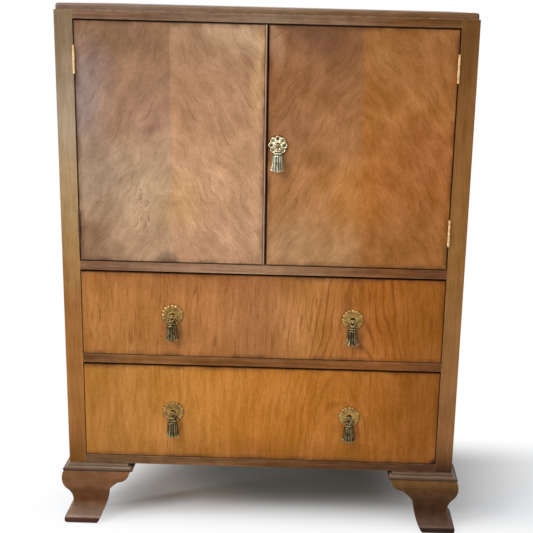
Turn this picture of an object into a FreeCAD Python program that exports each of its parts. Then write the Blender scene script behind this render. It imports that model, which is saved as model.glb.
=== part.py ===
import FreeCAD, Part
import math
import os
import re
from FreeCAD import Placement, Rotation, Vector

# A small cupboard of two doors over two drawers, on ogee bracket feet with tassel pulls.
# Millimetres, +Z up, front towards -Y, origin under the middle of the whole piece.

# Driving dimensions: alias, size, what it measures
SIZES = (
    ("carcass_width", 762, "outside of one side panel to outside of the other"),
    ("carcass_depth", 457, "front of the stiles to the back of the back panel"),
    ("base_height", 131, "floor to the underside of the carcass"),
    ("bottom_rail_height", 17, "bottom rail, top to bottom"),
    ("lower_opening_height", 195, "opening of the lower drawer"),
    ("drawer_rail_height", 17, "rail between the drawers, top to bottom"),
    ("upper_opening_height", 169, "opening of the upper drawer"),
    ("middle_rail_height", 17, "rail under the doors, top to bottom"),
    ("door_opening_height", 447, "opening of the doors"),
    ("top_rail_height", 15, "rail over the doors, top to bottom"),
    ("top_board_thickness", 11.5, "top board"),
    ("top_board_inset", 2, "top board back from the carcass faces"),
    ("top_edge_radius", 5, "rounding along the top board's upper edge"),
    ("top_corner_radius", 6, "rounding of the top board's front corners"),
    ("stile_width", 33, "front stile, across"),
    ("stile_depth", 24, "front stile, front to back"),
    ("side_thickness", 18, "side panel"),
    ("tongue_thickness", 6, "tongue of a side panel in its stile"),
    ("tongue_depth", 8, "tongue's reach into the stile"),
    ("rail_depth", 45, "front rails, front to back"),
    ("tenon_length", 12, "rail tenon's reach into the stile"),
    ("tenon_height", 7, "rail tenon, top to bottom"),
    ("tenon_depth", 14, "rail tenon, front to back"),
    ("tenon_setback", 5, "rail tenon back from the front"),
    ("back_thickness", 5, "back panel"),
    ("back_rebate_width", 9, "back panel's lap on a side panel"),
    ("back_rail_depth", 24, "back rails, front to back"),
    ("top_back_rail_height", 40, "top back rail, top to bottom"),
    ("floor_thickness", 9, "cupboard floor"),
    ("floor_housing_depth", 5, "cupboard floor's reach into a side panel"),
    ("shelf_rise", 206, "cupboard floor up to the shelf's underside"),
    ("shelf_thickness", 14, "shelf"),
    ("shelf_setback", 44, "shelf back from the carcass front"),
    ("cleat_width", 16, "shelf cleat, across"),
    ("cleat_height", 22, "shelf cleat, top to bottom"),
    ("runner_width", 34, "drawer runner, across"),
    ("guide_height", 14, "drawer guide above its runner"),
    ("guide_clearance", 0.6, "drawer side to guide"),
    ("door_thickness", 18, "doors"),
    ("face_recess", 0.5, "doors and drawers back from the carcass front"),
    ("door_side_gap", 2, "stile to door"),
    ("door_top_gap", 3, "top rail to door"),
    ("door_bottom_gap", 2, "middle rail to door"),
    ("door_stop_clearance", 0.4, "door to its stop"),
    ("door_stop_drop", 12, "stop below the top rail's underside"),
    ("meeting_shift", 1.6, "left panel's meeting edge, left of the middle"),
    ("bead_width", 4.6, "bead on the left door's meeting edge"),
    ("bead_proud", 0.8, "bead's nose in front of the door"),
    ("meeting_gap", 2.4, "bead to the right door"),
    ("hinge_length", 50, "hinge, top to bottom"),
    ("hinge_inset", 72, "edge of the door opening to the hinge's middle"),
    ("knuckle_radius", 2.2, "hinge knuckle"),
    ("knuckle_gap", 0.15, "between neighbouring knuckles"),
    ("knuckle_clearance", 0.3, "knuckle to wood and to the other leaf"),
    ("pin_radius", 1.1, "hinge pin"),
    ("pin_clearance", 0.05, "hinge pin to its bore"),
    ("pin_tip", 0.8, "hinge pin past the knuckles at each end"),
    ("pin_proud", 1.2, "hinge pin's axis in front of the carcass"),
    ("leaf_thickness", 1.2, "hinge leaf"),
    ("leaf_width", 15, "hinge leaf, pin's axis to its far edge"),
    ("leaf_screw_line", 9.5, "hinge pin's axis to the row of screws"),
    ("leaf_screw_pitch", 16, "between screws on a leaf"),
    ("leaf_screw_head_radius", 2.3, "hinge screw's head"),
    ("leaf_screw_radius", 1.2, "hinge screw's shank"),
    ("leaf_screw_length", 13, "hinge screw"),
    ("back_screw_head_radius", 3, "back panel screw's head"),
    ("back_screw_head_depth", 2, "back panel screw's head"),
    ("back_screw_radius", 1.5, "back panel screw's shank"),
    ("back_screw_length", 18, "back panel screw"),
    ("back_screw_margin", 45, "carcass end to the first back panel screw"),
    ("bolt_inset", 26, "left panel's meeting edge to the bolt's axis"),
    ("bolt_radius", 3, "bolt"),
    ("bolt_length", 62, "bolt"),
    ("bolt_travel", 10, "bolt's throw"),
    ("bolt_clearance", 0.2, "bolt to its guides"),
    ("bolt_head_gap", 1.5, "drawn bolt's tip to the stop rail"),
    ("bolt_socket_clearance", 0.5, "bolt to its socket in the top rail"),
    ("bolt_plate_width", 14, "bolt's plate, across"),
    ("bolt_plate_thickness", 1.2, "bolt's plate"),
    ("bolt_guide_height", 8, "each guide on the bolt's plate"),
    ("bolt_guide_inset", 5, "drawn bolt's end to the guide"),
    ("bolt_guide_wall", 1.6, "guide's wall round the bolt"),
    ("bolt_knob_radius", 2.4, "bolt's thumb knob"),
    ("bolt_knob_length", 7, "bolt's thumb knob"),
    ("bolt_knob_rise", 5, "lower guide to the thumb knob's edge"),
    ("catch_inset", 30, "right door's meeting edge to the catch's middle"),
    ("catch_width", 14, "catch, across"),
    ("catch_metal", 1.2, "catch's strip"),
    ("catch_drop", 9, "stop rail's underside to the tongue's middle"),
    ("catch_reach", 12, "tongue behind the door"),
    ("catch_clearance", 0.35, "tongue to the jaws"),
    ("catch_plate_height", 14, "tongue's plate on the door"),
    ("catch_foot", 14, "jaws' foot under the stop rail, front to back"),
    ("drawer_side_gap", 1.6, "stile to drawer front"),
    ("drawer_top_gap", 3.6, "rail above to drawer front"),
    ("drawer_bottom_gap", 1, "rail below to drawer front"),
    ("drawer_front_thickness", 20, "drawer front"),
    ("drawer_side_thickness", 10, "drawer sides"),
    ("drawer_side_relief", 0.2, "drawer side back from the end of its front"),
    ("drawer_side_drop", 10, "drawer side below the top of its front"),
    ("drawer_back_thickness", 10, "drawer backs"),
    ("drawer_back_drop", 6, "drawer back below the top of its sides"),
    ("drawer_bottom_thickness", 5, "drawer bottoms"),
    ("drawer_bottom_rise", 10, "drawer side's lower edge to the bottom's underside"),
    ("groove_depth", 4, "groove for a drawer bottom"),
    ("drawer_rear_clearance", 15, "drawer to the back panel"),
    ("runner_clearance", 0.3, "drawer side to its runner"),
    ("tail_lap", 13, "dovetail's reach into a drawer front"),
    ("tail_flare", 2.5, "dovetail's widening on each edge"),
    ("pin_width", 7, "narrow end of a dovetail pin"),
    ("tail_margin", 4, "end of a joint to its first pin"),
    ("upper_tails", 4, "dovetails at each corner of the upper drawer"),
    ("lower_tails", 5, "dovetails at each corner of the lower drawer"),
    ("stop_block_length", 40, "drawer stop, across"),
    ("stop_block_height", 5, "drawer stop above the rail"),
    ("stop_block_spread", 190, "middle to a drawer stop's middle"),
    ("stop_block_clearance", 0.4, "drawer front to its stop"),
    ("cap_height", 14, "moulded cap over each foot"),
    ("cap_out", 12, "cap's bead past the carcass face"),
    ("cap_reach", 127, "carcass corner to the cap's inner tip"),
    ("cap_bead_radius", 2.6, "bead along the cap's lower edge"),
    ("cap_cove_sag", 2.2, "hollow of the cap's cove"),
    ("foot_top_out", 10.5, "foot past the carcass face, under the cap"),
    ("belly_out", 14, "foot past the carcass face, at the belly"),
    ("belly_height", 102, "floor to the belly"),
    ("neck_in", 4, "foot inside the carcass face, at the neck"),
    ("neck_height", 45, "floor to the neck"),
    ("toe_out", 12, "foot past the carcass face, at the toe"),
    ("toe_height", 9, "floor to the toe"),
    ("toe_base_out", 5, "foot past the carcass face, at the floor"),
    ("bracket_thickness", 28, "carcass face to the foot's inner face"),
    ("bracket_reach", 121, "carcass corner to the bracket's inner end"),
    ("flank_reach", 56, "carcass corner to the end of a foot's short side bracket"),
    ("cusp_reach", 98, "carcass corner to the cusp of the bracket"),
    ("cusp_height", 95, "floor to the cusp"),
    ("ankle_reach", 73, "carcass corner to the bracket's ankle"),
    ("ankle_height", 64, "floor to the ankle"),
    ("foot_reach", 51, "carcass corner to the bracket's inner edge at the floor"),
    ("lobe_bow", 6, "swell of the bracket above the cusp"),
    ("scoop_bow", 3, "hollow of the bracket under the cusp"),
    ("shank_bow", 5, "swell of the bracket under the ankle"),
    ("rear_bracket_thickness", 18, "plain bracket across the back"),
    ("foot_block_width", 26, "glue block inside a foot"),
    ("foot_block_lift", 64, "floor to the glue block"),
    ("pull_spread", 173, "middle to a drawer pull"),
    ("door_pull_inset", 18.6, "right door's meeting edge to its pull"),
    ("door_pull_rise", 6, "door's middle to its pull"),
    ("pull_standoff", 11, "face of the wood to the ring's middle"),
    ("plate_radius", 20.9, "drawer pull plate"),
    ("door_plate_radius", 18.4, "door pull plate"),
    ("plate_rim", 1.2, "pull plate at its rim"),
    ("plate_dome", 3.6, "pull plate at its middle"),
    ("plate_lobes", 16, "lobes round a drawer pull plate"),
    ("door_plate_lobes", 8, "lobes round the door pull plate"),
    ("lobe_cut_radius", 2.4, "notch between two lobes of a drawer pull plate"),
    ("door_lobe_cut_radius", 3.4, "notch between two lobes of the door pull plate"),
    ("lobe_cut_offset", 1.1, "notch's middle past the rim"),
    ("piercings", 4, "holes round the door pull plate, in every second lobe"),
    ("piercing_radius", 2.2, "hole in a lobe of the door pull plate"),
    ("piercing_inset", 5.2, "rim of the door pull plate to a hole's middle"),
    ("stud_radius", 2, "stud in the wood"),
    ("stud_clearance", 0.2, "stud to its hole"),
    ("stud_collar_radius", 4.4, "stud's collar on the plate"),
    ("stud_collar_height", 1.6, "stud's collar on the plate"),
    ("stud_neck_radius", 1.3, "stud's neck, where the ring hangs"),
    ("stud_ball_radius", 2.5, "ball on the stud's end"),
    ("stud_tail", 2, "stud past its nut"),
    ("nut_radius", 4.2, "nut, middle to corner"),
    ("nut_height", 3.2, "nut"),
    ("thread_clearance", 0.05, "nut to stud"),
    ("ring_radius", 5.4, "tassel's ring, middle of its wire"),
    ("ring_wire_radius", 1.1, "tassel ring's wire"),
    ("ring_clearance", 0.3, "ring to the stud's neck"),
    ("ring_end_play", 0.6, "ring to the stud's ball"),
    ("tassel_length", 51, "ring's wire to the foot of the skirt"),
    ("skirt_length", 31, "tassel's fluted skirt"),
    ("skirt_head_width", 19.4, "skirt at its head"),
    ("skirt_width", 28.4, "skirt at its foot"),
    ("skirt_depth", 18.6, "skirt at its foot, front to back"),
    ("skirt_waist_width", 22, "skirt at half its length"),
    ("skirt_flutes", 16, "flutes round the skirt"),
    ("flute_depth", 0.7, "flutes of the skirt"),
    ("tassel_collar_width", 18.6, "collar over the skirt"),
    ("tassel_neck_width", 8, "bead under the ring"),
)

# Places worked out from the driving dimensions
LEVELS = (
    ("half_width", "carcass_width / 2"),
    ("half_opening", "half_width - stile_width"),
    ("side_inner", "half_width - side_thickness"),
    ("front_face", "(pull_standoff + skirt_depth / 2 - face_recess - carcass_depth) / 2"),
    ("panel_face", "front_face + face_recess"),
    ("back_face", "front_face + carcass_depth"),
    ("back_inner", "back_face - back_thickness"),
    ("rail_back", "front_face + rail_depth"),
    ("lower_floor", "base_height + bottom_rail_height"),
    ("lower_ceiling", "lower_floor + lower_opening_height"),
    ("upper_floor", "lower_ceiling + drawer_rail_height"),
    ("upper_ceiling", "upper_floor + upper_opening_height"),
    ("door_sill", "upper_ceiling + middle_rail_height"),
    ("door_head", "door_sill + door_opening_height"),
    ("carcass_top", "door_head + top_rail_height"),
    ("carcass_height", "carcass_top - base_height"),
    ("door_back", "panel_face + door_thickness"),
    ("stop_face", "door_back + door_stop_clearance"),
    ("stop_underside", "door_head - door_stop_drop"),
    ("door_bottom", "door_sill + door_bottom_gap"),
    ("door_height", "door_opening_height - door_top_gap - door_bottom_gap"),
    ("door_outer", "half_opening - door_side_gap"),
    ("left_meeting", "-meeting_shift"),
    ("right_meeting", "bead_width + meeting_gap - meeting_shift"),
    ("pin_line", "half_opening - door_side_gap / 2"),
    ("pin_axis", "front_face - pin_proud"),
    ("upper_hinge", "door_head - hinge_inset"),
    ("lower_hinge", "door_sill + hinge_inset"),
    ("floor_top", "door_sill + floor_thickness"),
    ("shelf_bottom", "floor_top + shelf_rise"),
    ("shelf_front", "front_face + shelf_setback"),
    ("bolt_line", "left_meeting - bolt_inset"),
    ("bolt_axis", "door_back + bolt_plate_thickness + bolt_guide_wall + bolt_radius"),
    ("bolt_tip", "stop_underside - bolt_head_gap"),
    ("catch_line", "right_meeting + catch_inset"),
    ("tongue_middle", "stop_underside - catch_drop"),
    ("drawer_half", "half_opening - drawer_side_gap"),
    ("drawer_side_outer", "drawer_half - drawer_side_relief"),
    ("drawer_side_inner", "drawer_side_outer - drawer_side_thickness"),
    ("drawer_shoulder", "panel_face + drawer_front_thickness"),
    ("drawer_rear", "back_inner - drawer_rear_clearance"),
    ("drawer_back_front", "drawer_rear - drawer_back_thickness"),
    ("foot_height", "base_height - cap_height"),
    ("door_pull_line", "right_meeting + door_pull_inset"),
    ("door_pull_level", "door_bottom + door_height / 2 + door_pull_rise"),
    ("ring_rise", "stud_neck_radius + ring_clearance + ring_wire_radius"),
)

# Cuts run this far past the wood, so that no face of a cut lies in a face of the piece
OVERRUN = 40
MARGIN = 1e-6

SIDES = (("left", -1), ("right", 1))

doc = FreeCAD.newDocument("cupboard")
dims = doc.addObject("Spreadsheet::Sheet", "Dims")
levels = doc.addObject("Spreadsheet::Sheet", "Levels")
for row, (alias, size, meaning) in enumerate(SIZES, start=1):
    dims.set(f"A{row}", meaning)
    dims.set(f"B{row}", str(size))
    dims.setAlias(f"B{row}", alias)
doc.recompute()

SHEET_OF = {alias: "Dims." for alias, _, _ in SIZES}


def bound(text):
    """The expression with each size and level led by the sheet that holds it."""
    return re.sub(r"[a-z_]+", lambda word: SHEET_OF.get(word.group(), "") + word.group(), text)


for row, (alias, formula) in enumerate(LEVELS, start=1):
    levels.set(f"B{row}", "=" + bound(formula))
    levels.setAlias(f"B{row}", alias)
doc.recompute()
SHEET_OF.update({alias: "Levels." for alias, _ in LEVELS})


def value(alias):
    """The number that a size or level has now."""
    return float((dims if SHEET_OF[alias] == "Dims." else levels).get(alias))


nodes = []


def node(label, piece):
    """Names a finished sub-part and keeps it for writing."""
    piece.Label = label
    nodes.append(piece)
    return piece


def bind(piece, **formulas):
    """Ties properties of a piece to the sheets."""
    for prop, formula in formulas.items():
        piece.setExpression(prop, bound(str(formula)))
    return piece


def place(piece, x, y, z, rotation=Rotation()):
    """Turns a piece, then ties its position to the sheets."""
    piece.Placement = Placement(Vector(), rotation)
    for letter, formula in zip("xyz", (x, y, z)):
        piece.setExpression(f"Placement.Base.{letter}", bound(str(formula)))
    return piece


def board(name, x, y, z, length, width, height):
    """A square-edged block, given its low corner and its sizes along X, Y and Z."""
    block = bind(doc.addObject("Part::Box", name), Length=length, Width=width, Height=height)
    return place(block, x, y, z)


ALONG_Y = Rotation(Vector(1, 0, 0), -90)


def rod(name, x, y, z, radius, length, rotation=Rotation()):
    """A round bar from a point, along +Z unless it is turned."""
    return place(bind(doc.addObject("Part::Cylinder", name), Radius=radius, Height=length), x, y, z, rotation)


def fused(name, *pieces):
    """Pieces joined into one solid."""
    union = doc.addObject("Part::MultiFuse", name)
    union.Shapes = list(pieces)
    return union


def group(name, *pieces):
    """Separate solids kept together."""
    together = doc.addObject("Part::Compound", name)
    together.Links = list(pieces)
    return together


def cut(name, base, *tools):
    """A piece with the tools' shapes taken out of it."""
    result = doc.addObject("Part::Cut", name)
    result.Base = base
    result.Tool = tools[0] if len(tools) == 1 else fused(name + "_cuts", *tools)
    return result


def feature(name, shape):
    """A piece whose shape is worked out here from the sheets' sizes."""
    piece = doc.addObject("Part::Feature", name)
    piece.Shape = shape
    return piece


def outline(start, *moves):
    """Lines and arcs of a closed outline.

    A move is the next corner, or a pair: a point that an arc passes through, and the arc's end."""
    here, segments = Vector(*start), []
    for move in moves + (start,):
        via, end = move if isinstance(move[0], tuple) else (None, move)
        end = Vector(*end)
        if here.distanceToPoint(end) > MARGIN:
            segments.append(Part.Arc(here, Vector(*via), end) if via else Part.LineSegment(here, end))
        here = end
    return segments


def face_of(segments):
    """The flat face inside a closed outline."""
    return Part.Face(Part.Wire([segment.toShape() for segment in segments]))


def bowed(start, end, bow):
    """The top of an arc from start to end that stands off its chord by bow, to the left."""
    across = (end[0] - start[0], end[1] - start[1])
    share = bow / math.hypot(*across)
    return ((start[0] + end[0]) / 2 - across[1] * share, (start[1] + end[1]) / 2 + across[0] * share)


def swept_from(peak, end):
    """The middle of the arc that leaves peak straight up or down and ends at end."""
    run, rise = end[0] - peak[0], end[1] - peak[1]
    radius = (run ** 2 + rise ** 2) / (2 * run)
    to_middle = (run / 2 - radius, rise / 2)
    share = abs(radius) / math.hypot(*to_middle)
    return (peak[0] + radius + to_middle[0] * share, peak[1] + to_middle[1] * share)


def midway(first, second):
    """The point halfway between two."""
    return ((first[0] + second[0]) / 2, (first[1] + second[1]) / 2)


def body(name):
    """An empty body."""
    return doc.addObject("PartDesign::Body", name)


def sketch(owner, plane, segments, offset="0"):
    """A sketch of an outline on one of the body's planes, set off along that plane's normal."""
    drawing = owner.newObject("Sketcher::SketchObject", owner.Name + "_sketch")
    origin_plane = next(part for part in owner.Origin.OriginFeatures if part.Role == plane)
    drawing.AttachmentSupport = [(origin_plane, "")]
    drawing.MapMode = "FlatFace"
    drawing.setExpression("AttachmentOffset.Base.z", bound(offset))
    drawing.addGeometry(segments, False)
    return drawing


def pad(owner, drawing, length):
    """Thickens a sketch along its normal."""
    solid = owner.newObject("PartDesign::Pad", owner.Name + "_pad")
    solid.Profile = drawing
    return bind(solid, Length=length)


def pocket(owner, drawing):
    """Cuts a sketch right through, both ways."""
    hole = owner.newObject("PartDesign::Pocket", owner.Name + "_pocket")
    hole.Profile = drawing
    hole.Type = "ThroughAll"
    hole.SideType = "Symmetric"
    return hole


def round_copies(owner, original, count):
    """Repeats a cut evenly about the body's Y axis."""
    ring = owner.newObject("PartDesign::PolarPattern", owner.Name + "_ring")
    ring.Originals = [original]
    axis = next(part for part in owner.Origin.OriginFeatures if part.Role == "Y_Axis")
    ring.Axis = (axis, [""])
    ring.Angle = 360
    bind(ring, Occurrences=count)
    owner.Tip = ring
    return ring


def turned(owner, segments):
    """Turns a half outline, drawn in X and Y, about the body's Y axis."""
    drawing = sketch(owner, "XY_Plane", segments)
    solid = owner.newObject("PartDesign::Revolution", owner.Name + "_turning")
    solid.Profile = drawing
    solid.ReferenceAxis = (drawing, ["V_Axis"])
    solid.Angle = 360
    return solid


def screw_shape(head_radius, head_depth, radius, length):
    """A countersunk screw: its head's top at the origin, its point along +Z."""
    head = Part.makeCone(head_radius, radius, head_depth)
    return head.fuse(Part.makeCylinder(radius, length - head_depth, Vector(0, 0, head_depth)))


def driven(shape, points, direction):
    """Copies of a screw, with heads at the points, driven along a direction."""
    turn = Rotation(Vector(0, 0, 1), direction)
    copies = []
    for point in points:
        copy = shape.copy()
        copy.Placement = Placement(point, turn)
        copies.append(copy)
    return Part.makeCompound(copies)


def front_rail(label, bottom, height, *extras):
    """A rail between the stiles, with a stub tenon at each end."""
    bar = board(label + "_bar", "-half_opening", "front_face", bottom,
                "2 * half_opening", "rail_depth", height)
    tenons = board(label + "_tenons", "-half_opening - tenon_length", "front_face + tenon_setback",
                   f"{bottom} + ({height} - tenon_height) / 2", "2 * (half_opening + tenon_length)",
                   "tenon_depth", "tenon_height")
    return fused(label + "_joined", bar, tenons, *extras)


def front_rails():
    """The four rails across the front; the top one is rebated so that the doors close against it."""
    door_stop = board("door_stop", "-half_opening", "stop_face", "stop_underside",
                      "2 * half_opening", "rail_back - stop_face", "door_stop_drop")
    socket = rod("bolt_socket", "bolt_line", "bolt_axis", "stop_underside - bolt_travel",
                 "bolt_radius + bolt_socket_clearance", "2 * bolt_travel")
    top = front_rail("top_front_rail", "door_head", "top_rail_height", door_stop)
    return (
        node("top_front_rail", cut("top_front_rail", top, socket)),
        node("middle_rail", front_rail("middle_rail", "upper_ceiling", "middle_rail_height")),
        node("drawer_rail", front_rail("drawer_rail", "lower_ceiling", "drawer_rail_height")),
        node("bottom_rail", front_rail("bottom_rail", "base_height", "bottom_rail_height")),
    )


def hinge_leaf(name, level, side, wood_face, inward, own_knuckles):
    """One leaf of a hinge: a plate let into the wood, and every other knuckle on the pin's line.

    inward is the direction along X from the leaf's exposed face into the wood."""
    low_face = wood_face if inward > 0 else f"{wood_face} - leaf_thickness"
    bottom = f"{level} - hinge_length / 2"
    plate = board(name + "_plate", low_face, "pin_axis + knuckle_radius + knuckle_clearance", bottom,
                  "leaf_thickness", "leaf_width - knuckle_radius - knuckle_clearance", "hinge_length")
    pieces = [plate]
    for knuckle in own_knuckles:
        foot = f"{bottom} + {knuckle} * hinge_length / 5 + knuckle_gap / 2"
        height = "hinge_length / 5 - knuckle_gap"
        pieces.append(board(f"{name}_tab_{knuckle}", low_face, "pin_axis", foot,
                            "leaf_thickness", "knuckle_radius + 2 * knuckle_clearance", height))
        pieces.append(rod(f"{name}_knuckle_{knuckle}", f"{side} * pin_line", "pin_axis", foot,
                          "knuckle_radius", height))
    bore = rod(name + "_bore", f"{side} * pin_line", "pin_axis", f"{bottom} - hinge_length",
               "pin_radius + pin_clearance", "3 * hinge_length")
    return cut(name, fused(name + "_solid", *pieces), bore)


FRAME_KNUCKLES = (0, 2, 4)
DOOR_KNUCKLES = (1, 3)
HINGE_LEVELS = ("lower_hinge", "upper_hinge")


def hinge_screws(face, direction):
    """Three screws in each of a door's two hinge leaves."""
    shape = screw_shape(value("leaf_screw_head_radius"), value("leaf_thickness"),
                        value("leaf_screw_radius"), value("leaf_screw_length"))
    points = [Vector(face, value("pin_axis") + value("leaf_screw_line"),
                     value(level) + step * value("leaf_screw_pitch"))
              for level in HINGE_LEVELS for step in (-1, 0, 1)]
    return driven(shape, points, Vector(direction, 0, 0))


def hinges():
    """The hinges' leaves, pins and screws, kept by side for cutting their seats."""
    frame_leaves, pins, seats, frame_screws = [], [], {}, []
    for name, side in SIDES:
        on_frame, on_door, notches = [], [], []
        for level in HINGE_LEVELS:
            key = f"{name}_{level}"
            on_frame.append(hinge_leaf(key + "_frame_leaf", level, side, f"{side} * half_opening", side,
                                       FRAME_KNUCKLES))
            on_door.append(hinge_leaf(key + "_door_leaf", level, side, f"{side} * door_outer", -side,
                                      DOOR_KNUCKLES))
            pins.append(rod(key + "_pin", f"{side} * pin_line", "pin_axis",
                            f"{level} - hinge_length / 2 - pin_tip",
                            "pin_radius", "hinge_length + 2 * pin_tip"))
            notches.append(rod(key + "_notch", f"{side} * pin_line", "pin_axis",
                               f"{level} - hinge_length / 2 - knuckle_clearance",
                               "knuckle_radius + knuckle_clearance", "hinge_length + 2 * knuckle_clearance"))
        screws = feature(name + "_frame_screws", hinge_screws(side * value("half_opening"), side))
        door_screws = feature(name + "_door_screws", hinge_screws(side * value("door_outer"), -side))
        frame_leaves += on_frame
        frame_screws.append(screws)
        leaves = group(f"{name}_door_leaves", *on_door)
        node(f"{name}_door_hinge_leaves", cut(f"{name}_door_hinge_leaves", leaves, door_screws))
        node(f"{name}_door_hinge_screws", door_screws)
        seats[name] = {"stile": on_frame + notches + [screws], "door": on_door + notches + [door_screws]}
    leaves = group("frame_leaves", *frame_leaves)
    screws = group("frame_hinge_screws", *frame_screws)
    node("frame_hinge_leaves", cut("frame_hinge_leaves", leaves, screws))
    node("frame_hinge_screws", screws)
    node("hinge_pins", group("hinge_pins", *pins))
    return seats


def back_screws():
    """Screws round the edge of the back panel, driven from behind."""
    shape = screw_shape(value("back_screw_head_radius"), value("back_screw_head_depth"),
                        value("back_screw_radius"), value("back_screw_length"))
    low, high = value("base_height"), value("carcass_top")
    margin = value("back_screw_margin")
    edge = value("side_inner") + value("back_rebate_width") / 2
    along_side = [low + margin + (high - low - 2 * margin) * step / 4 for step in range(5)]
    across = [(value("side_inner") - margin) * step for step in (-1, -1 / 3, 1 / 3, 1)]
    heights = (low + value("bottom_rail_height") / 2, high - value("top_back_rail_height") / 2)
    points = [(side * edge, level) for side in (-1, 1) for level in along_side]
    points += [(x, level) for level in heights for x in across]
    heads = [Vector(x, value("back_face"), z) for x, z in points]
    return node("back_panel_screws", feature("back_panel_screws", driven(shape, heads, Vector(0, -1, 0))))


def sides_and_stiles(rails, floor, screws, seats):
    """The two side panels, tongued into the stiles that take the rails' tenons and the hinges."""
    for name, side in SIDES:
        low = "-half_width" if side < 0 else "side_inner"
        panel = board(f"{name}_side_blank", low, "front_face + stile_depth", "base_height",
                      "side_thickness", "carcass_depth - stile_depth", "carcass_height")
        tongue = board(f"{name}_side_tongue", f"{low} + (side_thickness - tongue_thickness) / 2",
                       "front_face + stile_depth - tongue_depth", "base_height",
                       "tongue_thickness", "2 * tongue_depth", "carcass_height")
        rebate_low = "-side_inner - back_rebate_width" if side < 0 else "side_inner"
        rebate = board(f"{name}_side_rebate", rebate_low, "back_inner", "base_height",
                       "back_rebate_width", "back_thickness", "carcass_height")
        tongued = fused(f"{name}_side_tongued", panel, tongue)
        node(f"{name}_side_panel", cut(f"{name}_side_panel", tongued, rebate, floor, screws))
        stile_low = "-half_width" if side < 0 else "half_opening"
        stile = board(f"{name}_stile_blank", stile_low, "front_face", "base_height",
                      "stile_width", "stile_depth", "carcass_height")
        node(f"{name}_front_stile",
             cut(f"{name}_front_stile", stile, tongue, *rails, *seats[name]["stile"]))


def cupboard_floor():
    """The floor of the cupboard: housed in the sides, notched round the stiles, proud as a door stop."""
    main = board("floor_main", "-side_inner - floor_housing_depth", "front_face + stile_depth", "door_sill",
                 "2 * (side_inner + floor_housing_depth)", "back_inner - front_face - stile_depth",
                 "floor_thickness")
    lip = board("floor_lip", "-half_opening", "stop_face", "door_sill", "2 * half_opening",
                "front_face + 2 * stile_depth - stop_face", "floor_thickness")
    return node("cupboard_floor", fused("cupboard_floor", main, lip))


def shelf():
    """The shelf and the two cleats that carry it."""
    node("shelf", board("shelf", "-side_inner", "shelf_front", "shelf_bottom",
                        "2 * side_inner", "back_inner - shelf_front", "shelf_thickness"))
    cleats = [board(f"{name}_cleat", low, "shelf_front", "shelf_bottom - cleat_height",
                    "cleat_width", "back_inner - shelf_front", "cleat_height")
              for name, low in (("left", "-side_inner"), ("right", "side_inner - cleat_width"))]
    node("shelf_cleats", group("shelf_cleats", *cleats))


def back_and_top(screws):
    """The back panel, the two rails that it is screwed to, and the top board."""
    panel = board("back_panel_blank", "-side_inner - back_rebate_width", "back_inner", "base_height",
                  "2 * (side_inner + back_rebate_width)", "back_thickness", "carcass_height")
    node("back_panel", cut("back_panel", panel, screws))
    for label, bottom, height in (
            ("top_back_rail", "carcass_top - top_back_rail_height", "top_back_rail_height"),
            ("bottom_back_rail", "base_height", "bottom_rail_height")):
        rail = board(label + "_blank", "-side_inner", "back_inner - back_rail_depth", bottom,
                     "2 * side_inner", "back_rail_depth", height)
        node(label, cut(label, rail, screws))
    half = value("half_width") - value("top_board_inset")
    front = value("front_face") + value("top_board_inset")
    back, corner = value("back_face"), value("top_corner_radius")
    dip = corner * (1 - math.sqrt(0.5))
    shape = outline(
        (-half, back), (-half, front + corner), ((-half + dip, front + dip), (-half + corner, front)),
        (half - corner, front), ((half - dip, front + dip), (half, front + corner)), (half, back))
    top = body("top_board")
    slab = pad(top, sketch(top, "XY_Plane", shape, "carcass_top"), "top_board_thickness")
    doc.recompute()
    height = value("carcass_top") + value("top_board_thickness")
    rounded = [f"Edge{number}" for number, edge in enumerate(slab.Shape.Edges, start=1)
               if edge.BoundBox.ZMin > height - MARGIN and edge.BoundBox.YMin < back - MARGIN]
    rounding = top.newObject("PartDesign::Fillet", "top_board_rounding")
    rounding.Base = (slab, rounded)
    bind(rounding, Radius="min(top_edge_radius; 0.9 * top_board_thickness)")
    node("top_board", top)


def runners(label, floor, height, back):
    """A pair of drawer runners, each with a guide along its outer edge."""
    pieces = []
    for name, side in SIDES:
        low = "-side_inner" if side < 0 else "side_inner - runner_width"
        bearer = board(f"{label}_{name}_bearer", low, "rail_back", f"{floor} - {height}",
                       "runner_width", f"{back} - rail_back", height)
        guide_face = "(drawer_side_outer + guide_clearance)"
        guide = board(f"{label}_{name}_guide", "-side_inner" if side < 0 else guide_face, "rail_back", floor,
                      f"side_inner - {guide_face}", f"{back} - rail_back", "guide_height")
        pieces.append(fused(f"{label}_{name}", bearer, guide))
    node(label, group(label, *pieces))


def drawer_stops():
    """Two blocks on each rail that a drawer front closes against."""
    blocks = [board(f"stop_{name}_{floor}", f"{side} * stop_block_spread - stop_block_length / 2",
                    "drawer_shoulder + stop_block_clearance", floor, "stop_block_length",
                    "rail_back - drawer_shoulder - stop_block_clearance", "stop_block_height")
              for floor in ("lower_floor", "upper_floor") for name, side in SIDES]
    node("drawer_stops", group("drawer_stops", *blocks))


def bracket_profile(handed):
    """The ogee of a bracket foot, from its top to the floor: out at the belly and toe, in at the neck."""
    top = (value("foot_top_out"), value("foot_height"))
    belly = (value("belly_out"), value("belly_height"))
    neck = (-value("neck_in"), value("neck_height"))
    toe = (value("toe_out"), value("toe_height"))
    base = (value("toe_base_out"), 0)
    upper, lower = midway(belly, neck), midway(neck, toe)
    inner = -value("bracket_thickness")
    curve = [top, (swept_from(belly, top), belly), (swept_from(belly, upper), upper),
             (swept_from(neck, upper), neck), (swept_from(neck, lower), lower),
             (swept_from(toe, lower), toe), (swept_from(toe, base), base),
             (inner, 0), (inner, value("foot_height"))]
    return outline(*[across(move, -handed) for move in curve])


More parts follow.
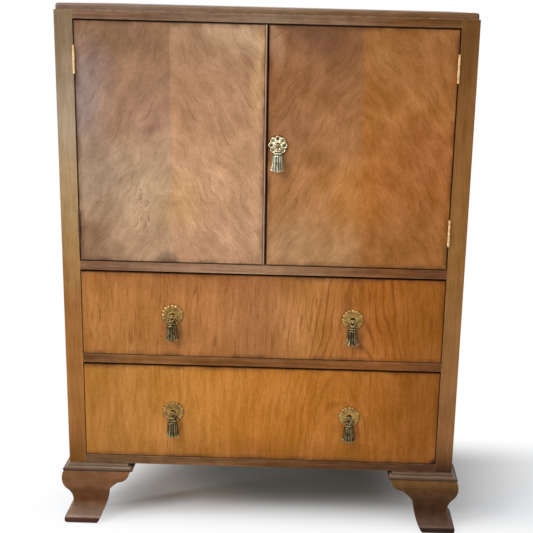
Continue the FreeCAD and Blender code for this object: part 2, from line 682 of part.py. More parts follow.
def across(move, factor):
    """A move of an outline with its first coordinate multiplied."""
    if isinstance(move[0], tuple):
        return tuple(across(point, factor) for point in move)
    return (move[0] * factor, move[1])


def fretwork():
    """What is sawn away inside a bracket: a lobe, a scoop and a shank that runs out to the toe."""
    head = (value("bracket_reach"), value("foot_height"))
    cusp = (value("cusp_reach"), value("cusp_height"))
    ankle = (value("ankle_reach"), value("ankle_height"))
    foot = (value("foot_reach"), 0)
    clear = head[0] + OVERRUN
    return outline(head, (bowed(head, cusp, value("lobe_bow")), cusp),
                   (bowed(cusp, ankle, -value("scoop_bow")), ankle),
                   (bowed(ankle, foot, value("shank_bow")), foot),
                   (foot[0], -OVERRUN), (clear, -OVERRUN), (clear, head[1]))


def bracket(name, handed, angle, corner_x, corner_y, start, reach="bracket_reach", plain=False, mitred=False):
    """One bracket of a foot, running from a carcass corner along its own +X, turned by angle about Z.

    A bracket of full reach is fretted; a short side bracket ends square.
    """
    piece = body(name)
    if plain:
        thickness, height = handed * value("rear_bracket_thickness"), value("foot_height")
        profile = outline((0, 0), (thickness, 0), (thickness, height), (0, height))
    else:
        profile = bracket_profile(handed)
    pad(piece, sketch(piece, "YZ_Plane", profile, start), f"{reach} - ({start})")
    if reach == "bracket_reach":
        pocket(piece, sketch(piece, "XZ_Plane", fretwork()))
    if mitred:
        far = OVERRUN
        pocket(piece, sketch(piece, "XY_Plane", outline(
            (-far, -handed * far), (far, handed * far), (-far, handed * far))))
    return place(piece, corner_x, corner_y, 0, Rotation(Vector(0, 0, 1), angle))


def cap_ends(start, end, moulded_start):
    """The section of a foot's cap: a bead under a cove at each moulded end."""
    low, high = value("foot_height"), value("base_height")
    bead, out = value("cap_bead_radius"), value("cap_out")
    rise = low + 2 * bead
    sag = value("cap_cove_sag")
    near = [(start, high), (start, low)]
    if moulded_start:
        head, neck = (start + out, high), (start + bead, rise)
        near = [head, (bowed(head, neck, sag), neck), ((start, low + bead), (start + bead, low))]
    head, neck = (end - out, high), (end - bead, rise)
    far = [(end - bead, low), ((end, low + bead), neck), (bowed(neck, head, sag), head)]
    return outline(*near, *far)


def foot_caps():
    """A moulded cap over each foot; the mouldings meet at mitres, and the back edge is flush."""
    out, reach = value("cap_out"), value("cap_reach")
    flank = value("flank_reach") + reach - value("bracket_reach")
    span = 2 * (reach + out)
    along_x = face_of(cap_ends(-out, reach, True))
    pieces = []
    for place_name, moulded, turn in (("front", True, 1), ("rear", False, -1)):
        start = -out if moulded else 0
        along_y = face_of(cap_ends(start, flank, moulded))
        for side_name, side in SIDES:
            # Drawn in X and Z, then stood on the other axis
            run_y = along_x.copy()
            run_y.rotate(Vector(), Vector(1, 0, 0), 90)
            run_y = run_y.extrude(Vector(0, 2 * span, 0))
            run_y.translate(Vector(0, -span, 0))
            run_x = along_y.copy()
            run_x.rotate(Vector(), Vector(1, 0, 0), 90)
            run_x.rotate(Vector(), Vector(0, 0, 1), 90)
            run_x = run_x.extrude(Vector(2 * span, 0, 0))
            run_x.translate(Vector(-span, 0, 0))
            cap = run_y.common(run_x)
            if side > 0:
                cap = cap.mirror(Vector(), Vector(1, 0, 0))
            if turn < 0:
                cap = cap.mirror(Vector(), Vector(0, 1, 0))
            piece = feature(f"{place_name}_{side_name}_cap", cap)
            pieces.append(place(piece, f"{side} * half_width", "front_face" if turn > 0 else "back_face", 0))
    node("foot_caps", group("foot_caps", *pieces))


def feet():
    """Two mitred brackets at each front corner, an ogee and a plain one at each rear corner, and blocks."""
    blocks = []
    for name, side in SIDES:
        corner = f"{side} * half_width"
        inward = 0 if side < 0 else 180
        front = bracket(f"front_{name}_face", -side, inward, corner, "front_face", f"-{OVERRUN}", mitred=True)
        flank = bracket(f"front_{name}_flank", side, 90, corner, "front_face", f"-{OVERRUN}", "flank_reach",
                        mitred=True)
        node(f"front_{name}_foot", group(f"front_{name}_foot", front, flank))
        flank = bracket(f"rear_{name}_flank", -side, -90, corner, "back_face", "0", "flank_reach")
        rear = bracket(f"rear_{name}_plain", side, inward, corner, "back_face", "bracket_thickness",
                       plain=True)
        node(f"rear_{name}_foot", group(f"rear_{name}_foot", flank, rear))
        low = ("-half_width + bracket_thickness" if side < 0
               else "half_width - bracket_thickness - foot_block_width")
        for end, y in (("front", "front_face + bracket_thickness"),
                       ("rear", "back_face - rear_bracket_thickness - foot_block_width")):
            blocks.append(board(f"{end}_{name}_block", low, y, "foot_block_lift", "foot_block_width",
                                "foot_block_width", "foot_height - foot_block_lift"))
    node("foot_blocks", group("foot_blocks", *blocks))


def pull_hole(name, x, z, thickness):
    """The hole for a pull's stud through a door or a drawer front."""
    return rod(name, x, f"panel_face - {thickness}", z, "stud_radius + stud_clearance", f"3 * {thickness}",
               ALONG_Y)


def pull_plate(name, x, z, radius, lobes, notch, pierced=False):
    """A domed rosette behind a pull, with a lobed rim."""
    rim, hole = value(radius), value("stud_radius") + value("stud_clearance")
    collar, dome = value("stud_collar_radius"), -value("plate_dome")
    edge = -value("plate_rim")
    plate = body(name)
    swell = bowed((rim, edge), (collar, dome), -value("plate_rim"))
    turned(plate, outline((hole, 0), (rim, 0), (rim, edge), (swell, (collar, dome)), (hole, dome)))
    cuts = [(rim + value("lobe_cut_offset"), value(notch), math.pi / value(lobes), lobes)]
    if pierced:
        cuts.append((rim - value("piercing_inset"), value("piercing_radius"), 0, "piercings"))
    for reach, size, angle, count in cuts:
        middle = Vector(reach * math.cos(angle), reach * math.sin(angle))
        hole = pocket(plate, sketch(plate, "XZ_Plane", [Part.Circle(middle, Vector(0, 0, 1), size)]))
        round_copies(plate, hole, count)
    return place(plate, x, "panel_face", z)


def pull_stud(name, x, z, thickness):
    """A stud through the wood, with its nut inside, and a neck and ball outside for the tassel's ring."""
    end = value(thickness) + value("nut_height") + value("stud_tail")
    shank, collar, neck = value("stud_radius"), value("stud_collar_radius"), value("stud_neck_radius")
    seat = -value("plate_dome")
    shoulder = seat - value("stud_collar_height")
    ball = value("stud_ball_radius")
    neck_end = -(value("pull_standoff") + value("ring_wire_radius") + value("ring_end_play"))
    middle = neck_end - math.sqrt(ball ** 2 - neck ** 2)
    stud = body(name)
    turned(stud, outline((0, end), (shank, end), (shank, seat), (collar, seat), (collar, shoulder),
                         (neck, shoulder), (neck, neck_end), ((ball, middle), (0, middle - ball))))
    place(stud, x, "panel_face", z)
    blank = bind(doc.addObject("Part::Prism", name + "_nut_blank"), Circumradius="nut_radius",
                 Height="nut_height")
    place(blank, x, f"panel_face + {thickness}", z, ALONG_Y)
    bore = rod(name + "_nut_bore", x, f"panel_face + {thickness} - nut_height", z,
               "stud_radius + thread_clearance", "3 * nut_height", ALONG_Y)
    return stud, cut(name + "_nut", blank, bore)


def ellipse(width, level):
    """A flattened round of a tassel at a level, its depth in the skirt's proportion."""
    flat = value("skirt_depth") / value("skirt_width")
    ring = Part.Ellipse(Vector(0, 0, level), width / 2, flat * width / 2)
    return Part.Wire(ring.toShape())


def fluted_round(width, level):
    """A flattened round of the tassel's skirt, with a row of swells between its flutes."""
    flat = value("skirt_depth") / value("skirt_width")
    count = int(value("skirt_flutes"))

    def point(step, sink):
        angle = 2 * math.pi * step / count
        reach = width / 2 - sink
        return Vector(reach * math.cos(angle), flat * reach * math.sin(angle), level)

    return Part.Wire([Part.Arc(point(step, value("flute_depth")), point(step + 0.5, 0),
                               point(step + 1, value("flute_depth"))).toShape() for step in range(count)])


def tassel_shape():
    """A tassel that hangs from the origin: a ring of wire, a bead, a collar and a fluted skirt."""
    ring_radius, wire = value("ring_radius"), value("ring_wire_radius")
    ring = Part.makeTorus(ring_radius, wire, Vector(0, 0, -ring_radius), Vector(0, 1, 0))
    foot = -value("tassel_length")
    head = foot + value("skirt_length")
    neck, collar = value("tassel_neck_width"), value("tassel_collar_width")
    top = -2 * ring_radius
    drop = head - top
    knop = Part.makeLoft([ellipse(width, level) for width, level in (
        (neck * 0.6, top), (neck, top + drop * 0.2), (neck * 0.8, top + drop * 0.4),
        (collar * 0.85, top + drop * 0.5), (collar, top + drop * 0.72),
        (collar * 0.9, head - wire))], True, True)
    skirt = Part.makeLoft([fluted_round(width, level) for width, level in (
        (value("skirt_head_width"), head), (value("skirt_waist_width"), (head + foot) / 2),
        (value("skirt_width"), foot + wire), (value("skirt_width") - wire, foot))], True, True)
    return ring.fuse(knop).fuse(skirt).removeSplitter()


def tassel(label, shape, x, z):
    """A tassel on its stud."""
    node(label, place(feature(label, shape.copy()), x, "panel_face - pull_standoff", f"{z} + ring_rise"))


def doors(seats, tassel_solid):
    """The two doors with the bead, bolt, catch and pull that they carry."""
    hole = pull_hole("door_pull_hole", "door_pull_line", "door_pull_level", "door_thickness")
    for name, low, width, extras in (
            ("left", "-door_outer", "left_meeting + door_outer", ()),
            ("right", "right_meeting", "door_outer - right_meeting", (hole,))):
        panel = board(f"{name}_door_blank", low, "panel_face", "door_bottom",
                      width, "door_thickness", "door_height")
        node(f"{name}_door_panel", cut(f"{name}_door_panel", panel, *extras, *seats[name]["door"]))
    edge, width = value("left_meeting"), value("bead_width")
    nose = value("panel_face") - value("bead_proud")
    shoulder, back = nose + width / 2, value("door_back")
    bead = body("left_door_bead")
    shape = outline((edge, back), (edge, shoulder), ((edge + width / 2, nose), (edge + width, shoulder)),
                    (edge + width, back))
    pad(bead, sketch(bead, "XY_Plane", shape, "door_bottom"), "door_height")
    node("left_door_bead", bead)
    plate = pull_plate("right_door_plate", "door_pull_line", "door_pull_level", "door_plate_radius",
                       "door_plate_lobes", "door_lobe_cut_radius", pierced=True)
    node("right_door_pull_plate", plate)
    stud = pull_stud("right_door_stud", "door_pull_line", "door_pull_level", "door_thickness")
    node("right_door_pull_stud", group("right_door_pull_stud", *stud))
    tassel("right_door_tassel", tassel_solid, "door_pull_line", "door_pull_level")


def door_bolt():
    """The bolt inside the left door: a plate with two guides, and a round bolt with a thumb knob."""
    foot = "bolt_tip - bolt_length"
    low = "bolt_line - bolt_plate_width / 2"
    plate = board("bolt_backing", low, "door_back", foot, "bolt_plate_width", "bolt_plate_thickness",
                  "bolt_length - bolt_guide_inset")
    depth = "bolt_axis + bolt_radius + bolt_guide_wall - door_back"
    lower = board("bolt_lower_guide", low, "door_back", f"{foot} + bolt_guide_inset", "bolt_plate_width",
                  depth, "bolt_guide_height")
    upper = board("bolt_upper_guide", low, "door_back", "bolt_tip - bolt_guide_inset - bolt_guide_height",
                  "bolt_plate_width", depth, "bolt_guide_height")
    bore = rod("bolt_bore", "bolt_line", "bolt_axis", f"{foot} - bolt_length", "bolt_radius + bolt_clearance",
               "3 * bolt_length")
    node("left_door_bolt_plate", cut("left_door_bolt_plate", fused("bolt_frame", plate, lower, upper), bore))
    bar = rod("bolt_bar", "bolt_line", "bolt_axis", foot, "bolt_radius", "bolt_length")
    knob = rod("bolt_knob", "bolt_line", "bolt_axis",
               f"{foot} + bolt_guide_inset + bolt_guide_height + bolt_knob_rise + bolt_knob_radius",
               "bolt_knob_radius", "bolt_radius + bolt_knob_length", ALONG_Y)
    node("left_door_bolt", fused("left_door_bolt", bar, knob))


def door_catch():
    """The right door's catch: a tongue on the door between two spring jaws under the top rail."""
    low = "catch_line - catch_width / 2"
    half = "catch_metal / 2"
    plate = board("tongue_plate", low, "door_back", "tongue_middle - catch_plate_height / 2",
                  "catch_width", "catch_metal", "catch_plate_height")
    tongue = board("tongue_blade", low, "door_back", f"tongue_middle - {half}", "catch_width", "catch_reach",
                   "catch_metal")
    node("right_door_catch_tongue", fused("right_door_catch_tongue", plate, tongue))
    web = "door_back + catch_reach + catch_clearance"
    mouth = "door_back + 2 * catch_metal + catch_clearance"
    arm = f"{web} + catch_metal - ({mouth})"
    upper_arm = board("upper_jaw", low, mouth, f"tongue_middle + {half} + catch_clearance",
                      "catch_width", arm, "catch_metal")
    lower_arm = board("lower_jaw", low, mouth, f"tongue_middle - {half} - catch_clearance - catch_metal",
                      "catch_width", arm, "catch_metal")
    base = f"tongue_middle - {half} - catch_clearance - catch_metal"
    spine = board("jaw_spine", low, web, base, "catch_width", "catch_metal", f"stop_underside - ({base})")
    foot = board("jaw_foot", low, web, "stop_underside - catch_metal",
                 "catch_width", "catch_foot", "catch_metal")
    node("door_catch_jaws", fused("door_catch_jaws", upper_arm, lower_arm, spine, foot))


def tails(low, high, count, root, tip):
    """Corners of a row of dovetails up an edge, from their roots at one Y to their ends at another."""
    pitch = (high - low) / count
    wide = (pitch - value("pin_width")) / 2
    narrow = wide - value("tail_flare")
    corners = []
    for step in range(count):
        middle = low + (step + 0.5) * pitch
        corners += [(root, middle - narrow), (tip, middle - wide),
                    (tip, middle + wide), (root, middle + narrow)]
    return corners


def drawer(label, floor, opening, count, tassel_solid):
    """One drawer: a lapped front, dovetailed sides and back, a bottom slid into grooves, and two pulls."""
    front_foot = f"{floor} + drawer_bottom_gap"
    front_height = f"{opening} - drawer_top_gap - drawer_bottom_gap"
    foot = value(floor) + value("runner_clearance")
    front_low = value(floor) + value("drawer_bottom_gap")
    top = value(floor) + value(opening) - value("drawer_top_gap") - value("drawer_side_drop")
    back_low = foot + value("drawer_bottom_rise") + value("drawer_bottom_thickness")
    back_high = top - value("drawer_back_drop")
    margin = value("tail_margin")
    shoulder, rear = value("drawer_shoulder"), value("drawer_rear")
    root = value("drawer_back_front")
    rear_tails = tails(back_low, back_high, count, root, rear)
    front_tails = tails(front_low + margin, top - margin, count, shoulder, shoulder - value("tail_lap"))
    side_shape = outline((shoulder, foot), (rear, foot), (rear, back_low), (root, back_low), *rear_tails,
                         (root, back_high), (rear, back_high), (rear, top), (shoulder, top),
                         *front_tails[::-1])
    bottom = board(f"{label}_bottom", "-drawer_side_inner - groove_depth", "drawer_shoulder - groove_depth",
                   f"{floor} + runner_clearance + drawer_bottom_rise",
                   "2 * (drawer_side_inner + groove_depth)",
                   "drawer_rear - drawer_shoulder + groove_depth", "drawer_bottom_thickness")
    blanks = []
    for name, low in (("left", "-drawer_side_outer"), ("right", "drawer_side_inner")):
        blank = body(f"{label}_{name}_blank")
        pad(blank, sketch(blank, "YZ_Plane", side_shape, low), "drawer_side_thickness")
        node(f"{label}_{name}_side", cut(f"{label}_{name}_side", blank, bottom))
        blanks.append(blank)
    node(f"{label}_bottom", bottom)
    level = f"{front_foot} + ({front_height}) / 2"
    holes = [pull_hole(f"{label}_{name}_hole", f"{side} * pull_spread", level, "drawer_front_thickness")
             for name, side in SIDES]
    front = board(f"{label}_front_blank", "-drawer_half", "panel_face", front_foot, "2 * drawer_half",
                  "drawer_front_thickness", front_height)
    node(f"{label}_front", cut(f"{label}_front", front, *blanks, bottom, *holes))
    back = board(f"{label}_back_blank", "-drawer_side_outer", "drawer_back_front",
                 f"{floor} + runner_clearance + drawer_bottom_rise + drawer_bottom_thickness",
                 "2 * drawer_side_outer", "drawer_back_thickness",
                 f"{opening} - drawer_top_gap - drawer_side_drop - drawer_back_drop - runner_clearance"
                 " - drawer_bottom_rise - drawer_bottom_thickness")
    node(f"{label}_back", cut(f"{label}_back", back, *blanks))
    plates, studs = [], []
    for name, side in SIDES:
        line = f"{side} * pull_spread"
        plates.append(pull_plate(f"{label}_{name}_plate", line, level, "plate_radius", "plate_lobes",
                                 "lobe_cut_radius"))
        studs += pull_stud(f"{label}_{name}_stud", line, level, "drawer_front_thickness")
        tassel(f"{label}_{name}_tassel", tassel_solid, line, level)
    node(f"{label}_pull_plates", group(f"{label}_pull_plates", *plates))
    node(f"{label}_pull_studs", group(f"{label}_pull_studs", *studs))


def write_parts():
    """Checks every object, then writes each sub-part under its label."""
    doc.recompute()
    failed = [item.Name for item in doc.Objects if {"Invalid", "Error"} & set(item.State)]
    failed += [piece.Label for piece in nodes if piece.Shape.isNull() or not piece.Shape.isValid()]
    if failed:
        raise RuntimeError("failed: " + ", ".join(failed))
    os.makedirs("parts", exist_ok=True)
    for piece in nodes:
        piece.Shape.exportStep(os.path.join("parts", piece.Label + ".step"))
        print(f"{piece.Label}: {len(piece.Shape.Solids)} solid(s), {piece.Shape.Volume / 1000:.2f} cm3")


rails = front_rails()
seats = hinges()
screws = back_screws()
sides_and_stiles(rails, cupboard_floor(), screws, seats)
shelf()
back_and_top(screws)
runners("upper_drawer_runners", "upper_floor", "drawer_rail_height", "back_inner")
runners("lower_drawer_runners", "lower_floor", "bottom_rail_height", "back_inner - back_rail_depth")
drawer_stops()
feet()
foot_caps()
pendant = tassel_shape()
doors(seats, pendant)
door_bolt()
door_catch()
drawer("upper_drawer", "upper_floor", "upper_opening_height", int(value("upper_tails")), pendant)
drawer("lower_drawer", "lower_floor", "lower_opening_height", int(value("lower_tails")), pendant)
write_parts()
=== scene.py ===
"""Dresses a two-door cupboard over two drawers: walnut veneers, worn ogee feet and tarnished brass pulls."""

import logging
import math
from collections.abc import Mapping, Sequence
from dataclasses import dataclass
from enum import Enum
from typing import Any

import bmesh
import bpy
import numpy as np
from mathutils import Matrix, Vector


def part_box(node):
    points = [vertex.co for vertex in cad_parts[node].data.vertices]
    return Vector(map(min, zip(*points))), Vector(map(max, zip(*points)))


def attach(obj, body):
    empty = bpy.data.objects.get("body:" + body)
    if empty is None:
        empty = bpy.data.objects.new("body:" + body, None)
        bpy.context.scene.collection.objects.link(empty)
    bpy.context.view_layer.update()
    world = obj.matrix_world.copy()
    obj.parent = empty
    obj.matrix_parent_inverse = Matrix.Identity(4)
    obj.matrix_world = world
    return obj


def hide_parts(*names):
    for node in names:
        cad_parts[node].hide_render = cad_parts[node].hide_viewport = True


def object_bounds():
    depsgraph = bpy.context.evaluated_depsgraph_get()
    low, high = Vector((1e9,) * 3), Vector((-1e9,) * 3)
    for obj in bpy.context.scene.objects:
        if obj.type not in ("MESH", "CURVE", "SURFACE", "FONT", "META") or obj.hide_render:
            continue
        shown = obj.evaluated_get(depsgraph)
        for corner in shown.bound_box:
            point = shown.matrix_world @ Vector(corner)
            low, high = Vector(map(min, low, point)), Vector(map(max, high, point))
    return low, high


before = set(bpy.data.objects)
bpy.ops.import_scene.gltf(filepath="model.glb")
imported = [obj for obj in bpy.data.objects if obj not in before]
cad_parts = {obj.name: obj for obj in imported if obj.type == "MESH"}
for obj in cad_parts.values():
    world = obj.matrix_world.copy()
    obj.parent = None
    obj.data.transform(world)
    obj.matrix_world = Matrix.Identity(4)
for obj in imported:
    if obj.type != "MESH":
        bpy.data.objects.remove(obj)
CAD_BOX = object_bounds()

log = logging.getLogger("cupboard")

MM = 0.001
RELIEF = "relief"
# Metres between points that count as one
SAME_SPOT = 1e-6
# Usual settings of two kinds of node: a Mix is of colours, and a range is eased at both ends
USUAL = {"Mix": {"data_type": "RGBA"}, "MapRange": {"interpolation_type": "SMOOTHSTEP"}}
# Most of a noise lies between these
NOISE_LOW, NOISE_HIGH = 0.28, 0.72
Colour = tuple[float, float, float, float]
Patch = tuple[np.ndarray, np.ndarray]
Tones = tuple[tuple[float, str], ...]
Tree = bpy.types.NodeTree
Node = bpy.types.Node
Material = bpy.types.Material
Socket = bpy.types.NodeSocket


class Grain(Enum):
    """The way that a board's fibres run: along X, Y or Z."""

    ACROSS = 0
    INWARD = 1
    UPRIGHT = 2


class Side(Enum):
    """Which side of the middle a piece is on, seen from the front."""

    LEFT = "left"
    RIGHT = "right"


# Nodes and meshes

def linear(code: str) -> Colour:
    """Turns an sRGB hex colour into linear light.

    Args:
        code: The colour, such as "#8a6d49".

    Returns:
        Red, green, blue and an alpha of one.
    """
    share = np.array([int(code[i:i + 2], 16) for i in (1, 3, 5)]) / 255
    light = np.where(share <= 0.04045, share / 12.92, ((share + 0.055) / 1.055) ** 2.4)
    return (*light.tolist(), 1.0)


def add(tree: Tree, kind: str, inputs: Mapping[str, Any] | Sequence[Any] = (), out: int | str = 0,
        stops: Sequence[tuple[float, Colour]] = (), **settings: Any) -> Socket:
    """Adds one shader node, sets its properties, and sets or links its inputs.

    Args:
        tree: The material's or the world's nodes.
        kind: The node's type without its leading ShaderNode, and after a dot its operation, if it has one.
        inputs: Values, or the sockets that feed them, by name or in the order that the node shows them.
        out: The output wanted, by name or by its place among those that the node shows.
        stops: Places and colours along a colour ramp, two or more.
        settings: Properties of the node, besides the usual ones.

    Returns:
        The chosen output socket.
    """
    name, _, operation = kind.partition(".")
    made = tree.nodes.new("ShaderNode" + name)
    if operation:
        made.operation = operation
    for key, value in {**USUAL.get(name, {}), **settings}.items():
        setattr(made, key, value)
    shown = [socket for socket in made.inputs if socket.enabled]
    for key, value in inputs.items() if isinstance(inputs, Mapping) else enumerate(inputs):
        socket = made.inputs[key] if isinstance(key, str) else shown[key]
        if isinstance(value, Socket):
            tree.links.new(value, socket)
        else:
            socket.default_value = value
    for index, (place, colour) in enumerate(stops):
        elements = made.color_ramp.elements
        stop = elements[index] if index < 2 else elements.new(place)
        stop.position, stop.color = place, colour
    return made.outputs[out] if isinstance(out, str) else [s for s in made.outputs if s.enabled][out]


def start_material(name: str) -> tuple[Material, Tree, Node]:
    """Makes a material with a Principled shader on its output.

    Args:
        name: The real material's name.

    Returns:
        The material, its nodes and its shader.
    """
    made = bpy.data.materials.new(name)
    made.use_nodes = True
    return made, made.node_tree, made.node_tree.nodes["Principled BSDF"]


def cells(tree: Tree, place: Socket, sizes_mm: Sequence[float], detail: float = 2.0,
          turn: float = 0.0, out: str = "Fac") -> Socket:
    """Noise whose cells have a real size along each axis.

    Args:
        tree: The material's nodes.
        place: The coordinates that the noise reads, in metres.
        sizes_mm: A cell's size along X, Y and Z.
        detail: Finer octaves on top of the cells.
        turn: The cells' turn about Z, in degrees.
        out: Fac for a number, Color for three.

    Returns:
        The noise, about 0.5 on average.
    """
    spread = add(tree, "Mapping", {"Vector": place, "Rotation": (0.0, 0.0, math.radians(turn)),
                                   "Scale": [size * MM for size in sizes_mm]}, vector_type="TEXTURE")
    return add(tree, "TexNoise", {"Vector": spread, "Scale": 1.0, "Detail": detail}, out=out)


def along(grain: Grain, across_mm: float, length_mm: float) -> list[float]:
    """The size of a cell that is drawn out along the grain."""
    return [length_mm if axis == grain.value else across_mm for axis in range(3)]


def drifted(tree: Tree, place: Socket, sizes_mm: Sequence[float], reach_mm: float) -> Socket:
    """Coordinates pushed about by slow noise, which bends straight grain.

    Args:
        tree: The material's nodes.
        place: The coordinates to bend, in metres.
        sizes_mm: How far apart the bends are along each axis.
        reach_mm: How far the noise pushes a point.

    Returns:
        The bent coordinates.
    """
    noise = cells(tree, place, sizes_mm, 1.0, out="Color")
    push = add(tree, "VectorMath.SUBTRACT", (noise, (0.5, 0.5, 0.5)))
    return add(tree, "VectorMath.MULTIPLY_ADD", (push, [2 * reach_mm * MM] * 3, place))


def ramp(tree: Tree, value: Socket, low: float, high: float, tones: Tones) -> Socket:
    """Goes from colour to colour as a number goes from low to high, by stops at shares of that range."""
    share = add(tree, "MapRange", (value, low, high), interpolation_type="LINEAR")
    return add(tree, "ValToRGB", {"Fac": share}, stops=[(at, linear(code)) for at, code in tones])


def shaded(tree: Tree, tone: Socket, pattern: Socket, swing: float) -> Socket:
    """Darkens and lightens a colour with a pattern, and makes its lighter parts greyer.

    Args:
        tree: The material's nodes.
        tone: The colour so far.
        pattern: The noise that shades it.
        swing: How far it goes each way, as a share of the colour's value.

    Returns:
        The shaded colour.
    """
    value = add(tree, "MapRange", (pattern, NOISE_LOW, NOISE_HIGH, 1 - swing, 1 + swing))
    purity = add(tree, "MapRange", (pattern, NOISE_LOW, NOISE_HIGH, 1 + 0.1 * swing, 1 - 0.2 * swing))
    return add(tree, "HueSaturation", {"Saturation": purity, "Value": value, "Color": tone})


def crests(tree: Tree, turns: Socket, low: float) -> Socket:
    """Draws lines along the crests of a wave.

    Args:
        tree: The material's nodes.
        turns: The wave's phase, in whole turns.
        low: The height on the wave, whose top is 1, from which a line shows.

    Returns:
        0 between the lines and 1 on top of one.
    """
    phase = add(tree, "Math.MULTIPLY", (turns, 2 * math.pi))
    wave = add(tree, "Math.SINE", (phase,))
    return add(tree, "MapRange", (wave, low, 1.0))


def arris(tree: Tree, reach_mm: float) -> Socket:
    """Finds the edges, where polish rubs off.

    Args:
        tree: The material's nodes.
        reach_mm: How far in from an edge it still shows.

    Returns:
        0 on a flat and 1 on an edge.
    """
    rounded = add(tree, "Bevel", {"Radius": reach_mm * MM}, samples=4)
    flat = add(tree, "NewGeometry", out="Normal")
    agree = add(tree, "VectorMath.DOT_PRODUCT", (rounded, flat))
    return add(tree, "MapRange", (agree, 0.995, 0.80))


def polish(shader: Node, coat: float, coat_roughness: float) -> None:
    """Lays a thin film of polish over a wood that hardly shines by itself.

    Args:
        shader: The wood's Principled shader.
        coat: How much polish is left.
        coat_roughness: How dull it is.
    """
    shader.inputs["Specular IOR Level"].default_value = 0.08
    shader.inputs["Coat Weight"].default_value = coat
    shader.inputs["Coat Roughness"].default_value = coat_roughness


def surface(name: str, patches: Sequence[Patch], sharp_deg: float = 40.0,
            holes: np.ndarray | None = None) -> bpy.types.Object:
    """Makes one mesh of grids of points that each close on themselves round their second parameter.

    Args:
        name: The piece's name.
        patches: For each grid its points (rows, turns, 3), and its relief (rows, turns) from 0 in a hollow
            to 1 on a ridge. A row of equal points is a pole.
        sharp_deg: Faces that meet at more than this stay sharp.
        holes: Which quads of a lone grid are left out (rows - 1, turns).

    Returns:
        The object, in the scene, with its place in its mesh.
    """
    quads, start = [], 0
    for points, _ in patches:
        rows, turns = points.shape[:2]
        here = start + np.arange(rows - 1)[:, None] * turns + np.arange(turns)
        beside = start + np.arange(rows - 1)[:, None] * turns + (np.arange(turns) + 1) % turns
        grid = np.stack([here, beside, beside + turns, here + turns], axis=-1)
        quads.append(grid.reshape(-1, 4) if holes is None else grid[~holes])
        start += rows * turns
    used, corners = np.unique(np.concatenate(quads), return_inverse=True)
    spots = np.concatenate([points.reshape(-1, 3) for points, _ in patches])[used]
    heights = np.concatenate([relief.ravel() for _, relief in patches])[used]
    mesh = bpy.data.meshes.new(name)
    mesh.from_pydata(spots.tolist(), [], corners.reshape(-1, 4).tolist())
    mesh.attributes.new(RELIEF, "FLOAT", "POINT").data.foreach_set("value", heights.astype(np.float32))
    work = bmesh.new()
    work.from_mesh(mesh)
    bmesh.ops.remove_doubles(work, verts=work.verts, dist=SAME_SPOT)
    bmesh.ops.recalc_face_normals(work, faces=work.faces)
    work.to_mesh(mesh)
    work.free()
    mesh.shade_smooth()
    mesh.set_sharp_from_angle(angle=math.radians(sharp_deg))
    piece = bpy.data.objects.new(name, mesh)
    bpy.context.scene.collection.objects.link(piece)
    return piece


def dress(node: str, material: Material, eased_mm: float = 0.0) -> None:
    """Gives a CAD node its material, and eases its sharp edges.

    Args:
        node: The node's name.
        material: Its finish.
        eased_mm: The width of the bevel along its edges, or 0 for none.
    """
    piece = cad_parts[node]
    piece.material_slots[0].material = material
    if eased_mm:
        weld = piece.modifiers.new("weld", "WELD")
        weld.merge_threshold = 0.01 * MM
        flats = piece.modifiers.new("flats", "DECIMATE")
        flats.decimate_type, flats.angle_limit = "DISSOLVE", math.radians(0.5)
        ease = piece.modifiers.new("ease", "BEVEL")
        ease.width, ease.segments, ease.limit_method = eased_mm * MM, 2, "ANGLE"
        ease.angle_limit, ease.harden_normals = math.radians(50), True
    log.info("dressed %s as %s", node, material.name)


# Finishes

